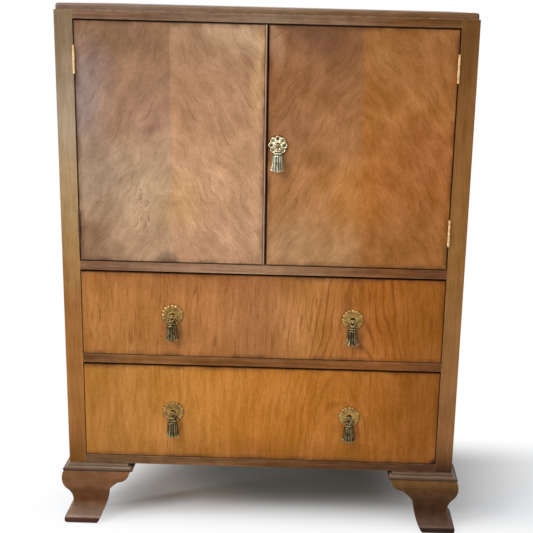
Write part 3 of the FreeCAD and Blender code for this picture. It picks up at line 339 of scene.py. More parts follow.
@dataclass(frozen=True)
class BoardWood:
    """Straight-grained wood of a solid or plainly veneered board, under polish or bare.

    Bands of growth and fine fibres run along the grain, under soft clouds. Open pores show as short dark
    dashes, and the edges are rubbed pale. The tone goes from stop to stop along the grain, or along another
    axis, over the box: the whole object's, or a node's own.
    """

    name: str
    tones: Tones
    worn: str
    grain: Grain
    axis: Grain | None = None
    box: Sequence[Vector] = CAD_BOX
    band_mm: float = 16.0
    cloud: float = 0.45
    swing: float = 0.2
    wear: float = 0.5
    roughness: float = 0.42
    coat: float = 0.12
    bend_mm: float = 8.0

    def build(self) -> Material:
        """Makes the material.

        Returns:
            The finish.
        """
        made, tree, shader = start_material(self.name)
        place = add(tree, "TexCoord", out="Object")
        bent = drifted(tree, place, along(self.grain, 70, 260), self.bend_mm)
        bands = cells(tree, bent, along(self.grain, self.band_mm, 420), 3.0)
        # Drawn about twice as coarse as real fibres and pores, which are finer than a pixel of the photograph
        fibres = cells(tree, bent, along(self.grain, 3.4, 60), 3.0)
        pores = cells(tree, bent, along(self.grain, 2.0, 13), 1.0)
        axis = (self.axis or self.grain).value
        level = add(tree, "SeparateXYZ", (place,), out=axis)
        tone = ramp(tree, level, self.box[0][axis], self.box[1][axis], self.tones)
        clouds = cells(tree, place, (26, 26, 26), 3.0)
        for pattern, share in ((clouds, self.cloud), (bands, 0.9), (fibres, 0.6)):
            tone = shaded(tree, tone, pattern, share * self.swing)
        dashes = add(tree, "MapRange", (pores, 0.62, 0.74, 0.0, 0.2))
        tone = add(tree, "Mix", (dashes, tone, linear("#2e1c0e")))
        patches = cells(tree, place, (18, 18, 18), 3.0)
        patchy = add(tree, "MapRange", (patches, 0.35, 0.65, 0.0, self.wear))
        rubbed = add(tree, "Math.MULTIPLY", (arris(tree, 2.4), patchy))
        tone = add(tree, "Mix", (rubbed, tone, linear(self.worn)))
        tree.links.new(tone, shader.inputs["Base Color"])
        gloss = add(tree, "MapRange", (fibres, 0.3, 0.7, self.roughness - 0.06, self.roughness + 0.08))
        tree.links.new(gloss, shader.inputs["Roughness"])
        tree.links.new(add(tree, "Bump", {"Height": fibres, "Strength": 0.25, "Distance": 0.15 * MM}),
                       shader.inputs["Normal"])
        polish(shader, self.coat, 0.2)
        return made


@dataclass(frozen=True)
class ToneAndLightCloud:
    """A cloud of colour over the wood's tone that fades out from its middle. Some are stained or warmed wood,
    some a painted sheen of light on the polish, and some painted shade.

    The middle is a share of the panel's width and height, and the size is how far it fades each way. A
    flecked one shows only as short upright dashes.
    """

    colour: str
    middle: tuple[float, float]
    size_mm: tuple[float, float]
    share: float
    flecked: bool = False


@dataclass(frozen=True)
class Panel:
    """The box of a veneered panel, with the pulls on it, and how much soiled wax and painted gap shade its
    left and right edges take.
    """

    low: Vector
    high: Vector
    pulls: tuple[Vector, ...] = ()
    plate_mm: float = 0.0
    dirt_and_shade: tuple[float, float] = (1.0, 1.0)

    def lay_cloud(self, tree: Tree, place: Socket, tone: Socket, cloud: ToneAndLightCloud) -> Socket:
        """Lays one cloud over the wood's tone.

        Args:
            tree: The material's nodes.
            place: The coordinates, bent so that the cloud has a ragged edge.
            tone: The colour so far.
            cloud: The cloud.

        Returns:
            The clouded colour.
        """
        size = self.high - self.low
        middle = (self.low.x + cloud.middle[0] * size.x, self.low.y, self.low.z + cloud.middle[1] * size.z)
        spread = (cloud.size_mm[0] * MM, 1.0, cloud.size_mm[1] * MM)
        aside = add(tree, "Mapping", {"Vector": place, "Location": middle, "Scale": spread},
                    vector_type="TEXTURE")
        aside = add(tree, "VectorMath.LENGTH", (aside,))
        share = add(tree, "MapRange", (aside, 0.15, 1.0, cloud.share, 0.0))
        if cloud.flecked:
            dashes = add(tree, "MapRange", (cells(tree, place, (4.5, 1000, 9), 1.0), 0.52, 0.62))
            share = add(tree, "Math.MULTIPLY", (share, dashes))
        return add(tree, "Mix", (share, tone, linear(cloud.colour)))

    def grime_and_painted_shade(self, tree: Tree, place: Socket, tone: Socket) -> Socket:
        """Lays old, soiled wax and painted shade: a thin dark line on the edges that is painted shade of the
        gaps, a patchy band of soiled wax inside it, and rings round the pulls that are painted shade, partly
        soiled wax.

        Args:
            tree: The material's nodes.
            place: The coordinates.
            tone: The colour so far.

        Returns:
            The colour with soiled wax and painted shade.
        """
        spot = add(tree, "SeparateXYZ", (place,)).node
        band, line = 0.0, 0.0
        for axis, shares in (("X", self.dirt_and_shade), ("Z", (1.0, 1.0))):
            for corner, share in zip((self.low, self.high), shares):
                gap = add(tree, "Math.SUBTRACT", (spot.outputs[axis], getattr(corner, axis.lower())))
                gap = add(tree, "Math.ABSOLUTE", (gap,))
                broad = add(tree, "MapRange", (gap, 0.0, 12 * MM, share, 0.0))
                # A thin dark line right at the edge: painted shade of the gap round the panel
                gap_shade = add(tree, "MapRange", (gap, 0.5 * MM, 2 * MM, 0.6 * share, 0.0))
                band = add(tree, "Math.MAXIMUM", (broad, band))
                line = add(tree, "Math.MAXIMUM", (gap_shade, line))
        patchy = add(tree, "MapRange", (cells(tree, place, (34, 34, 34), 3.0), 0.3, 0.7, 0.1, 0.7))
        band = add(tree, "Math.MULTIPLY", (band, patchy))
        tone = add(tree, "Mix", (band, tone, linear("#4a2d1a")))
        # The dark line is painted shade of the gaps
        tone = add(tree, "Mix", (line, tone, linear("#2c0f06")))
        # Rings round the pulls: painted shade under and just round each plate, partly soiled wax
        for middle in self.pulls:
            away = add(tree, "VectorMath.DISTANCE", (place, middle))
            inner, outer = (self.plate_mm - 1.5) * MM, (self.plate_mm + 2.5) * MM
            ring = add(tree, "MapRange", (away, inner, outer, 0.7, 0.0))
            tone = add(tree, "Mix", (ring, tone, linear("#1d1007")))
        return tone


@dataclass(frozen=True)
class FiguredVeneer:
    """Two leaves of curly walnut veneer, laid as mirror images on each side of a seam, under aged polish.

    A fine, wormy curl and bundles of thin dark sweeps fall away from the seam, like a wide arrow's feathers,
    and each leaf has its own tone, which paints in how it catches the light: a painted sheen, greyest on the
    left door's left leaf. The tones go from the panel's foot to its head, and pass from leaf to leaf over the
    seam's width at the foot and at the head.
    """

    name: str
    panel: Panel
    left_tones: Tones
    right_tones: Tones
    seam_mm: tuple[float, float]
    tone_and_light_clouds: tuple[ToneAndLightCloud, ...]
    curl_deg: float = -62.0
    sweep_mm: float = 15.0

    def build(self) -> Material:
        """Makes the material.

        Returns:
            The finish.
        """
        made, tree, shader = start_material(self.name)
        place = add(tree, "TexCoord", out="Object")
        spot = add(tree, "SeparateXYZ", (place,)).node
        seam = (self.panel.low.x + self.panel.high.x) / 2
        aside = add(tree, "Math.SUBTRACT", (spot.outputs["X"], seam))
        from_seam = add(tree, "Math.ABSOLUTE", (aside,))
        fold = add(tree, "CombineXYZ", (from_seam, spot.outputs["Z"], seam))
        flow = drifted(tree, fold, (150, 150, 150), 26)
        flow = drifted(tree, flow, (40, 40, 40), 8)
        curl = drifted(tree, flow, (10, 10, 10), 2.6)
        worm = cells(tree, curl, (11, 3.6, 1000), 2.0, self.curl_deg)
        mottle = cells(tree, flow, (36, 19, 1000), 3.0, self.curl_deg)
        tone = self.lay_leaves(tree, spot, aside)
        ragged = drifted(tree, place, (110, 110, 110), 34)
        ragged = drifted(tree, ragged, (26, 26, 26), 9)
        for cloud in self.tone_and_light_clouds:
            tone = self.panel.lay_cloud(tree, ragged, tone, cloud)
        for pattern, swing in ((cells(tree, place, (55, 55, 70), 3.0), 0.13), (mottle, 0.12), (worm, 0.075),
                               (cells(tree, flow, (80, 6, 1000), 2.0, self.curl_deg), 0.035),
                               (cells(tree, place, (3.4, 3.4, 3.4), 2.0), 0.05)):
            tone = shaded(tree, tone, pattern, swing)
        sweeps = self.sweeps(tree, flow)
        faint = add(tree, "Math.MULTIPLY", (sweeps, 0.26))
        tone = add(tree, "Mix", (faint, tone, linear("#6a4428")))
        flecks = cells(tree, place, (2.2, 1000, 8), 1.0)
        flecks = add(tree, "MapRange", (flecks, 0.66, 0.78, 0.0, 0.3))
        tone = add(tree, "Mix", (flecks, tone, linear("#4a2c16")))
        tree.links.new(self.panel.grime_and_painted_shade(tree, place, tone), shader.inputs["Base Color"])
        tree.links.new(add(tree, "MapRange", (mottle, 0.3, 0.7, 0.36, 0.48)), shader.inputs["Roughness"])
        fine = add(tree, "Math.SUBTRACT", (worm, sweeps))
        ripple = add(tree, "Math.MULTIPLY_ADD", (mottle, 1.5, fine))
        tree.links.new(add(tree, "Bump", {"Height": ripple, "Strength": 0.35, "Distance": 0.5 * MM}),
                       shader.inputs["Normal"])
        polish(shader, 0.06, 0.3)
        return made

    def sweeps(self, tree: Tree, flow: Socket) -> Socket:
        """Thin lines that fall away from the seam in loose bundles.

        They are the crests of a wave across the leaf, whose phase is pushed about by slow noise, and show in
        patches clear of the seam.

        Args:
            tree: The material's nodes.
            flow: The folded and bent coordinates: the distance from the seam, and the height.

        Returns:
            1 on a line and 0 between the lines.
        """
        leaf = add(tree, "SeparateXYZ", (flow,)).node
        fall, spacing = math.radians(self.curl_deg), self.sweep_mm * MM
        turns = add(tree, "Math.MULTIPLY", (leaf.outputs["Y"], math.cos(fall) / spacing))
        turns = add(tree, "Math.MULTIPLY_ADD", (leaf.outputs["X"], -math.sin(fall) / spacing, turns))
        turns = add(tree, "Math.MULTIPLY_ADD", (cells(tree, flow, (120, 120, 1000), 2.0), 5.0, turns))
        crest = crests(tree, turns, 0.75)
        patches = add(tree, "MapRange", (cells(tree, flow, (60, 60, 1000), 2.0), 0.48, 0.62))
        clear = add(tree, "MapRange", (leaf.outputs["X"], 8 * MM, 45 * MM))
        patches = add(tree, "Math.MULTIPLY", (patches, clear))
        return add(tree, "Math.MULTIPLY", (crest, patches))

    def lay_leaves(self, tree: Tree, spot: Node, aside: Socket) -> Socket:
        """Tones the two leaves.

        Args:
            tree: The material's nodes.
            spot: A node that gives X, Y and Z.
            aside: The distance to the right of the seam.

        Returns:
            The colour.
        """
        foot, head = self.panel.low.z, self.panel.high.z
        left = ramp(tree, spot.outputs["Z"], foot, head, self.left_tones)
        right = ramp(tree, spot.outputs["Z"], foot, head, self.right_tones)
        widths = [width * MM for width in self.seam_mm]
        width = add(tree, "MapRange", (spot.outputs["Z"], foot, head, *widths))
        share = add(tree, "Math.DIVIDE", (aside, width))
        share = add(tree, "MapRange", (share, -0.5, 0.5))
        return add(tree, "Mix", (share, left, right))


@dataclass(frozen=True)
class StripedVeneer:
    """Walnut veneer with upright grain on a drawer front.

    Growth rings cut flat give wavy dark lines that close into arches over one point, with dark streaks, finer
    fibres and short pores, and clouds of colour over them, some of them painted shade. The tones go from left
    to right, and the arches' middle is a share of the panel's width.
    """

    name: str
    panel: Panel
    tones: Tones
    line: str
    arch: float
    depth: float
    tone_and_light_clouds: tuple[ToneAndLightCloud, ...]
    ring_mm: float = 12.0
    arch_mm: float = 40.0
    rise_mm: float = 80.0
    wander: float = 3.0

    def build(self) -> Material:
        """Makes the material.

        Returns:
            The finish.
        """
        made, tree, shader = start_material(self.name)
        place = add(tree, "TexCoord", out="Object")
        bent = drifted(tree, place, (24, 1000, 44), 3.6)
        across = add(tree, "SeparateXYZ", (place,), out="X")
        tone = ramp(tree, across, self.panel.low.x, self.panel.high.x, self.tones)
        for cloud in self.tone_and_light_clouds:
            tone = self.panel.lay_cloud(tree, bent, tone, cloud)
        # Drawn about twice as coarse as real fibres, which are finer than a pixel of the photograph
        fibres = cells(tree, bent, (2.8, 1000, 32), 3.0)
        for pattern, swing in ((cells(tree, place, (60, 60, 90), 3.0), 0.10), (fibres, 0.07),
                               (cells(tree, bent, (12, 1000, 120), 2.0), 0.09),
                               (cells(tree, place, (3.6, 3.6, 3.6), 2.0), 0.06)):
            tone = shaded(tree, tone, pattern, swing)
        streaks = cells(tree, bent, (3.4, 1000, 46), 2.0)
        streaks = add(tree, "MapRange", (streaks, 0.56, 0.70, 0.0, 0.8 * self.depth))
        for lines in (streaks, self.rings(tree, bent)):
            tone = add(tree, "Mix", (lines, tone, linear(self.line)))
        pores = cells(tree, bent, (2.2, 1000, 9), 1.0)
        pores = add(tree, "MapRange", (pores, 0.63, 0.76, 0.0, 0.25))
        tone = add(tree, "Mix", (pores, tone, linear("#4a2408")))
        tree.links.new(self.panel.grime_and_painted_shade(tree, place, tone), shader.inputs["Base Color"])
        tree.links.new(add(tree, "MapRange", (fibres, 0.3, 0.7, 0.36, 0.46)), shader.inputs["Roughness"])
        tree.links.new(add(tree, "Bump", {"Height": fibres, "Strength": 0.3, "Distance": 0.2 * MM}),
                       shader.inputs["Normal"])
        polish(shader, 0.06, 0.22)
        return made

    def rings(self, tree: Tree, bent: Socket) -> Socket:
        """Growth rings: the crests of a wave, which are hyperbolas that point up, pushed about by slow noise.

        They show in patches, and fade away to the sides of the arches.

        Args:
            tree: The material's nodes.
            bent: The coordinates.

        Returns:
            How dark a ring is, from 0 to the depth.
        """
        spot = add(tree, "SeparateXYZ", (bent,)).node
        middle = self.panel.low.x + self.arch * (self.panel.high.x - self.panel.low.x)
        aside = add(tree, "Math.SUBTRACT", (spot.outputs["X"], middle))
        arch = add(tree, "Math.MULTIPLY_ADD", (aside, aside, (self.arch_mm * MM) ** 2))
        arch = add(tree, "Math.SQRT", (arch,))
        turns = add(tree, "Math.MULTIPLY", (cells(tree, bent, (80, 1000, 160), 2.0), self.wander))
        turns = add(tree, "Math.MULTIPLY_ADD", (spot.outputs["Z"], 1 / (self.rise_mm * MM), turns))
        turns = add(tree, "Math.MULTIPLY_ADD", (arch, 1 / (self.ring_mm * MM), turns))
        patches = cells(tree, bent, (22, 1000, 80), 3.0)
        patches = add(tree, "MapRange", (patches, 0.36, 0.64, 0.1, self.depth))
        dark = add(tree, "Math.MULTIPLY", (crests(tree, turns, 0.3), patches))
        near = add(tree, "MapRange", (arch, 70 * MM, 170 * MM, 1.0, 0.25))
        return add(tree, "Math.MULTIPLY", (dark, near))


@dataclass(frozen=True)
class Metal:
    """Old bare metal: handled bright on its ridges, and brown or green-grey in its hollows.

    A carved piece carries its own relief: it is dark up to the first share of its hollows and bright from the
    second. A stain is a point round which the metal has gone dark.
    """

    name: str
    bright: str
    dull: str
    hollow: str
    roughness: float
    carved: bool = False
    stain: Vector | None = None
    hollows: tuple[float, float] = (0.0, 0.7)

    def build(self) -> Material:
        """Makes the material.

        Returns:
            The finish.
        """
        made, tree, shader = start_material(self.name)
        place = add(tree, "TexCoord", out="Object")
        clouds = cells(tree, place, (7, 7, 7), 2.0)
        patchy = add(tree, "MapRange", (clouds, 0.35, 0.65))
        tone = add(tree, "Mix", (patchy, linear(self.dull), linear(self.bright)))
        if self.carved:
            height = add(tree, "Attribute", out="Fac", attribute_name=RELIEF)
            deep = add(tree, "MapRange", (height, *self.hollows, 1.0, 0.0))
            tone = add(tree, "Mix", (deep, tone, linear(self.hollow)))
        if self.stain:
            away = add(tree, "VectorMath.DISTANCE", (place, self.stain))
            near = add(tree, "MapRange", (away, 60 * MM, 90 * MM, 0.9, 0.0))
            tone = add(tree, "Mix", (near, tone, linear(self.hollow)))
        tree.links.new(tone, shader.inputs["Base Color"])
        gloss = add(tree, "MapRange", (clouds, 0.3, 0.7, self.roughness + 0.10, self.roughness - 0.04))
        tree.links.new(gloss, shader.inputs["Roughness"])
        shader.inputs["Metallic"].default_value = 1.0
        return made


# The object

@dataclass
class Carcass:
    """The fixed case: stiles, sides, rails, top, back and what is inside."""

    eased_mm: float = 0.7

    def build(self) -> None:
        """Dresses every board of the case."""
        self.dress_front()
        flank = BoardWood("polished_walnut_side", ((0.0, "#7a5430"), (1.0, "#85603c")), "#a88256",
                          Grain.UPRIGHT, band_mm=30).build()
        for side in Side:
            dress(f"{side.value}_side_panel", flank, self.eased_mm)
        # Its pale rubbed edges are partly wear and partly a painted highlight along its arrises
        top = BoardWood("polished_walnut_top", ((0.15, "#684f40"), (0.5, "#73583f"), (0.85, "#684422")),
                        "#d2c0a8", Grain.ACROSS, band_mm=9, wear=0.7, coat=0.25)
        dress("top_board", top.build())
        self.dress_inside()

    def dress_front(self) -> None:
        """Dresses the stiles and rails, each in its own tones of the same polished walnut; the stiles' tones
        carry painted light.
        """
        # The left stile's pale, greyer upper part is a painted sheen, and the right stile is partly painted
        # darker as shade
        stiles = {Side.LEFT: ((0.13, "#744819"), (0.22, "#96602a"), (0.36, "#9a6530"), (0.45, "#8c5a28"),
                              (0.57, "#947042"), (0.69, "#a68862"), (0.78, "#a08a70"), (0.94, "#776148")),
                  Side.RIGHT: ((0.13, "#3c2010"), (0.16, "#744a26"), (0.2, "#98683a"), (0.6, "#90622e"),
                               (0.8, "#825526"), (0.95, "#68421a"))}
        for side, tones in stiles.items():
            stile = BoardWood(f"polished_walnut_{side.value}_stile", tones, "#b08a5c", Grain.UPRIGHT,
                              band_mm=24, swing=0.16, wear=0.35, coat=0.06)
            dress(f"{side.value}_front_stile", stile.build(), self.eased_mm)
        stops = (0.1, 0.22, 0.5, 0.8, 0.89)
        for name, *tones in (("top_front", "#6e503b", "#6e503b", "#866c56", "#6e4622", "#6e4622"),
                             ("middle", "#6c4b30", "#866248", "#9e7757", "#824f28", "#6c4120"),
                             ("drawer", "#68401d", "#865628", "#75461a", "#824a16", "#6b3d12"),
                             ("bottom", "#684a2d", "#74502f", "#704722", "#5c3a20", "#54341c")):
            rail = BoardWood(f"polished_walnut_{name}_rail", tuple(zip(stops, tones)), "#a58665",
                             Grain.ACROSS, band_mm=7, swing=0.26, wear=0.7, coat=0.06)
            dress(f"{name}_rail", rail.build(), self.eased_mm)

    def dress_inside(self) -> None:
        """Dresses the plain boards inside, and the back."""
        waxed = ((0.0, "#b88c5a"), (1.0, "#b08354"))
        for grain, nodes in ((Grain.ACROSS, ("cupboard_floor", "shelf", "top_back_rail", "bottom_back_rail",
                                             "drawer_stops")),
                             (Grain.INWARD, ("shelf_cleats", "upper_drawer_runners", "lower_drawer_runners")),
                             (Grain.UPRIGHT, ("foot_blocks",))):
            plain = BoardWood(f"waxed_interior_wood_{grain.name.lower()}", waxed, "#d4ae80", grain,
                              band_mm=11, roughness=0.6, coat=0.0).build()
            for node in nodes:
                dress(node, plain)
        ply = BoardWood("birch_plywood", ((0.0, "#c09868"), (1.0, "#c39c6e")), "#d8b78d", Grain.UPRIGHT,
                        band_mm=34, roughness=0.65, coat=0.0, bend_mm=22)
        dress("back_panel", ply.build())


@dataclass
class Feet:
    """The ogee bracket feet and the moulded caps over them."""

    def build(self) -> None:
        """Dresses the feet in a dark stain that is rubbed through on its edges, with a painted highlight
        along each toe's lip, and painted shade that makes the right-hand feet darker.
        """
        # Tones up each foot: the pale stop at 0.135 is a painted highlight along the toe's lip, and the
        # right-hand feet are painted darker as shade
        levels = (0.04, 0.115, 0.135, 0.17, 0.26, 0.42, 0.65, 0.92)
        stains_and_painted_light = {Side.LEFT: ("#4a2a20", "#543528", "#a08a7c", "#846858",
                              "#70543f", "#5e3414", "#6e4626", "#785032"),
                  Side.RIGHT: ("#2a1a14", "#33221a", "#6e584c", "#5c4436",
                               "#543a2a", "#462812", "#52331a", "#62421f")}
        for side, tones in stains_and_painted_light.items():
            stain = BoardWood(f"stained_with_painted_light_{side.value}_foot", tuple(zip(levels, tones)), "#9a7c66",
                              Grain.ACROSS, Grain.UPRIGHT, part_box(f"front_{side.value}_foot"), band_mm=30,
                              cloud=1.6, swing=0.12, wear=0.6, roughness=0.5, coat=0.0).build()
            for end in ("front", "rear"):
                dress(f"{end}_{side.value}_foot", stain)
        # Painted shade under the bead and at the top, where the cap meets the carcass, and a painted
        # highlight along the arris over the bead
        mould_light_and_shade = ((0.0, "#2a1c12"), (0.08, "#442e20"), (0.30, "#4a3424"), (0.35, "#664e3e"),
                 (0.40, "#72594a"), (0.44, "#947a60"), (0.50, "#6e5846"), (0.56, "#4a3628"),
                 (0.86, "#705842"), (0.94, "#5a4430"), (0.98, "#26180e"))
        cap = BoardWood("dark_stained_cap", mould_light_and_shade, "#a8907a", Grain.ACROSS, Grain.UPRIGHT,
                        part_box("foot_caps"), band_mm=9, wear=0.4, roughness=0.36)
        dress("foot_caps", cap.build())


@dataclass
class Door:
    """One door's figured panel."""

    side: Side
    left_tones: Tones
    right_tones: Tones
    seam_mm: tuple[float, float]
    tone_and_light_clouds: tuple[ToneAndLightCloud, ...]
    pull: "Pull | None" = None
    eased_mm: float = 0.8

    def build(self) -> None:
        """Dresses the panel."""
        node = f"{self.side.value}_door_panel"
        pulls = (self.pull.centre(),) if self.pull else ()
        panel = Panel(*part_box(node), pulls, self.pull.plate_mm if self.pull else 0.0)
        veneer = FiguredVeneer(f"figured_walnut_{self.side.value}", panel, self.left_tones, self.right_tones,
                               self.seam_mm, self.tone_and_light_clouds)
        dress(node, veneer.build(), self.eased_mm)


@dataclass
class Drawer:
    """One drawer: its striped front, with soiled wax and painted gap shade on the left and right edges, and
    its plain inside.
    """

    name: str
    tones: tuple[str, ...]
    line: str
    arch: float
    depth: float
    pulls: "tuple[Pull, ...]"
    tone_and_light_clouds: tuple[ToneAndLightCloud, ...]
    dirt_and_shade: tuple[float, float]
    eased_mm: float = 0.8
    lining_eased_mm: float = 0.4

    def build(self) -> None:
        """Dresses the drawer's boards."""
        panel = Panel(*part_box(f"{self.name}_front"), tuple(pull.centre() for pull in self.pulls),
                      self.pulls[0].plate_mm, self.dirt_and_shade)
        tones = tuple(zip((0.1, 0.35, 0.49, 0.62, 0.82, 0.93), self.tones))
        front = StripedVeneer(f"striped_walnut_{self.name}", panel, tones, self.line, self.arch, self.depth,
                              self.tone_and_light_clouds)
        dress(f"{self.name}_front", front.build(), self.eased_mm)
        for grain, nodes in ((Grain.INWARD, ("left_side", "right_side")), (Grain.ACROSS, ("back",))):
            lining = BoardWood(f"oak_{nodes[-1]}_{self.name}", ((0.0, "#c49c6a"), (1.0, "#c09866")),
                               "#dcbd94", grain, band_mm=8, roughness=0.6, coat=0.0).build()
            for node in nodes:
                dress(f"{self.name}_{node}", lining, self.lining_eased_mm)
        bottom = BoardWood(f"plywood_bottom_{self.name}", ((0.0, "#c8a274"), (1.0, "#c8a274")), "#dcbd94",
                           Grain.ACROSS, band_mm=30, roughness=0.65, coat=0.0, bend_mm=20)
        dress(f"{self.name}_bottom", bottom.build())


@dataclass
class Metalwork:
    """Hinges, pins, screws, bolt and catch."""

    stain_height: float = 0.6

    def build(self) -> None:
        """Dresses the small metal nodes; the lower left hinge has gone dark."""
        corner = Vector((CAD_BOX[0].x, CAD_BOX[0].y, self.stain_height))
        hinge = Metal("polished_hinge_brass", "#dcb88c", "#c29a6a", "#3a2614", 0.34, stain=corner).build()
        steel = Metal("dull_steel_screw", "#8c8780", "#6a655e", "#3c3834", 0.42).build()
        for node in ("frame_hinge_leaves", "left_door_hinge_leaves", "right_door_hinge_leaves", "hinge_pins",
                     "left_door_bolt_plate", "left_door_bolt", "right_door_catch_tongue", "door_catch_jaws"):
            dress(node, hinge)
        for node in ("frame_hinge_screws", "left_door_hinge_screws", "right_door_hinge_screws",
                     "back_panel_screws"):
            dress(node, steel)


@dataclass
class Pull:
    """A tassel pull: a pressed rosette plate, a stud, and a cast tassel that swings on it.

    The crest is how bright the cords' ridges are. The hem is how wide the skirt's foot is, as a share of the
    CAD tassel's width.
    """

    body: str
    tassel: str
    plates: str
    lobes: int
    plate_mm: float
    lobe_share: float
    pierced: bool = False
    cords: int = 14
    crest: float = 0.68
    hem: float = 1.0
    ring_mm: float = 5.4
    wire_mm: float = 1.1

    def build(self, plate_brass: Material, tassel_brass: Material) -> None:
        """Builds the plate and the tassel.

        Args:
            plate_brass: The plate's finish.
            tassel_brass: The tassel's finish.
        """
        plate = self.make_plate()
        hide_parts(self.plates)
        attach(plate, self.body)
        tassel = self.make_tassel()
        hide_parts(self.tassel)
        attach(tassel, self.tassel)
        for piece, finish in ((plate, plate_brass), (tassel, tassel_brass)):
            piece.data.materials.append(finish)
            log.info("built %s", piece.name)

    def centre(self) -> Vector:
        """Finds the point on the wood's face behind the pull.

        Returns:
            The point.
        """
        low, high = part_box(self.tassel)
        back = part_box(self.plates)
        return Vector(((low.x + high.x) / 2, back[1].y, (back[0].z + back[1].z) / 2))

    def make_plate(self) -> bpy.types.Object:
        """Presses the plate from sheet.

        The rim is the union of as many equal circles as there are lobes, set on a ring. At share s of the way
        from the stud to the rim, and angle a, the height is a low dome and a ring round the stud. A drawer's
        plate adds petals that hollow between the lobes, and a boss near the rim in each lobe. The door's
        plate adds a raised line along each lobe's own circle, and has a hole in every second lobe.

        Returns:
            The plate, with a little thickness.
        """
        rows, turns = 41, self.lobes * 16
        share = np.linspace(0.12, 1.0, rows)[:, None]
        angle = (np.arange(turns) / turns * 2 * math.pi)[None, :]
        step = 2 * math.pi / self.lobes
        aside = (angle + step / 2) % step - step / 2
        core = 1 - self.lobe_share
        rim = core * np.cos(aside) + np.sqrt(self.lobe_share ** 2 - (core * np.sin(aside)) ** 2)
        radius = share * rim
        lobe_mid = core if self.pierced else 0.87
        away = np.hypot(radius * np.cos(aside) - lobe_mid, radius * np.sin(aside))
        dome = 0.9 + 2.3 * (1 - share ** 2)
        raised = 0.5 * np.exp(-((share - 0.30) / 0.05) ** 2) + 0 * angle
        holes = np.zeros((rows - 1, turns), bool)
        if self.pierced:
            raised += 1.2 * np.exp(-((away - 0.75 * self.lobe_share) / 0.055) ** 2)
            raised -= 0.5 * np.exp(-(away / 0.2) ** 2)
            holes = (away[:-1] < 0.115) & (np.round(angle / step) % 2 == 0)
        else:
            raised += 0.8 * np.exp(-(away / 0.06) ** 2)
            raised -= 0.45 * (2 * aside / step) ** 2 * np.sin(math.pi * np.clip((share - 0.34) / 0.5, 0, 1))
        lift = dome + raised
        lift[-1] = 0.2
        middle = self.centre()
        points = np.stack([middle.x + self.plate_mm * MM * radius * np.cos(angle), middle.y - MM * lift,
                           middle.z + self.plate_mm * MM * radius * np.sin(angle)], axis=-1)
        plate = surface(f"{self.tassel}_plate", [(points, np.clip(0.55 + 0.5 * raised, 0, 1))], 180.0, holes)
        wall = plate.modifiers.new("sheet", "SOLIDIFY")
        wall.thickness, wall.offset = 0.7 * MM, -1.0
        smooth = plate.modifiers.new("pressed", "SUBSURF")
        smooth.levels = smooth.render_levels = 1
        return plate

    def make_tassel(self) -> bpy.types.Object:
        """Casts the tassel: a ring, and a turned knop over a skirt of cords.

        The knop and skirt are one profile of half-widths at levels over the foot, carried round an oval. In
        the skirt the half-width shrinks between cords by the size of a cosine. The hem is scalloped by it,
        and rises to each side with the square of the distance from the middle.

        Returns:
            The tassel.
        """
        low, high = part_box(self.tassel)
        half, flat = (high.x - low.x) / 2 / MM, (high.y - low.y) / (high.x - low.x)
        middle = (low + high) / 2
        profile = np.array([(0.0, 1.2), (0.55, 1.2), (0.90, 0.6), (0.98, 0.9), (1.0, 2.0), (0.965, 4.0),
                            (0.895, 7.2), (0.83, 11.0), (0.785, 15.5), (0.755, 20.5), (0.735, 25.5),
                            (0.72, 28.2), (0.68, 30.0), (0.60, 31.2), (0.50, 31.7), (0.43, 32.3),
                            (0.52, 32.9), (0.63, 33.5), (0.66, 34.5), (0.63, 35.5), (0.52, 36.1),
                            (0.36, 36.6), (0.34, 37.0), (0.39, 37.7), (0.41, 38.6), (0.37, 39.6),
                            (0.26, 40.4), (0.12, 40.9), (0.0, 41.0)])
        skirt_top, collar, neck = 31.5, 32.2, 36.8
        steps, knots = np.linspace(0, 1, 170), np.linspace(0, 1, len(profile))
        level = np.interp(steps, knots, profile[:, 1])[:, None]
        slim = 1 - (1 - self.hem) * np.clip(1 - level / 25, 0, 1)
        width = slim * half * np.interp(steps, knots, profile[:, 0])[:, None]
        turns = self.cords * 12
        angle = (np.arange(turns) / turns * 2 * math.pi)[None, :]
        cord = np.abs(np.cos(self.cords / 2 * (angle - math.pi / 2)))
        strand = np.abs(np.cos(self.cords * (angle - math.pi / 2)))
        skirt = np.clip((skirt_top - level) / 3.0, 0, 1)
        depth = skirt * (0.05 + 0.06 * np.clip((16 - level) / 16, 0, 1))
        radius = width * (1 - depth * (1 - cord) - 0.2 * depth * (1 - strand))
        rise = (0.9 * (1 - cord) + 3.0 * np.cos(angle) ** 2) * np.exp(-(level / 5.0) ** 2) * width / half
        points = np.stack([middle.x + MM * radius * np.cos(angle),
                           middle.y + MM * flat * radius * np.sin(angle),
                           low.z + MM * (level + rise)], axis=-1)
        groove = np.exp(-((level - collar) / 0.6) ** 2) + np.exp(-((level - neck) / 0.5) ** 2)
        # Full relief at the foot of the hem keeps it bright: a painted highlight along the hem, not handling
        handled = np.exp(-(level / 2.4) ** 2)
        skirted = self.crest * (0.8 * cord + 0.2 * strand) + handled
        relief = np.clip(np.where(level < 31, skirted, 0.8) - groove, 0, 1)
        return surface(f"{self.tassel}_cast", [(points, relief), self.make_ring(middle, high.z)], 60.0)

    def make_ring(self, middle: Vector, top: float) -> Patch:
        """Bends the wire ring that hangs on the stud: a circle carried round a circle.

        Args:
            middle: A point under the ring's middle.
            top: The level of its top.

        Returns:
            Its points and relief.
        """
        around = (np.arange(65) / 64 * 2 * math.pi)[:, None]
        about = (np.arange(20) / 20 * 2 * math.pi)[None, :]
        radius = self.ring_mm + self.wire_mm * np.cos(about)
        level = top - (self.ring_mm + self.wire_mm) * MM
        points = np.stack([middle.x + MM * radius * np.cos(around),
                           middle.y + MM * self.wire_mm * np.sin(about) + 0 * around,
                           level + MM * radius * np.sin(around)], axis=-1)
        return points, np.full(points.shape[:2], 0.8)


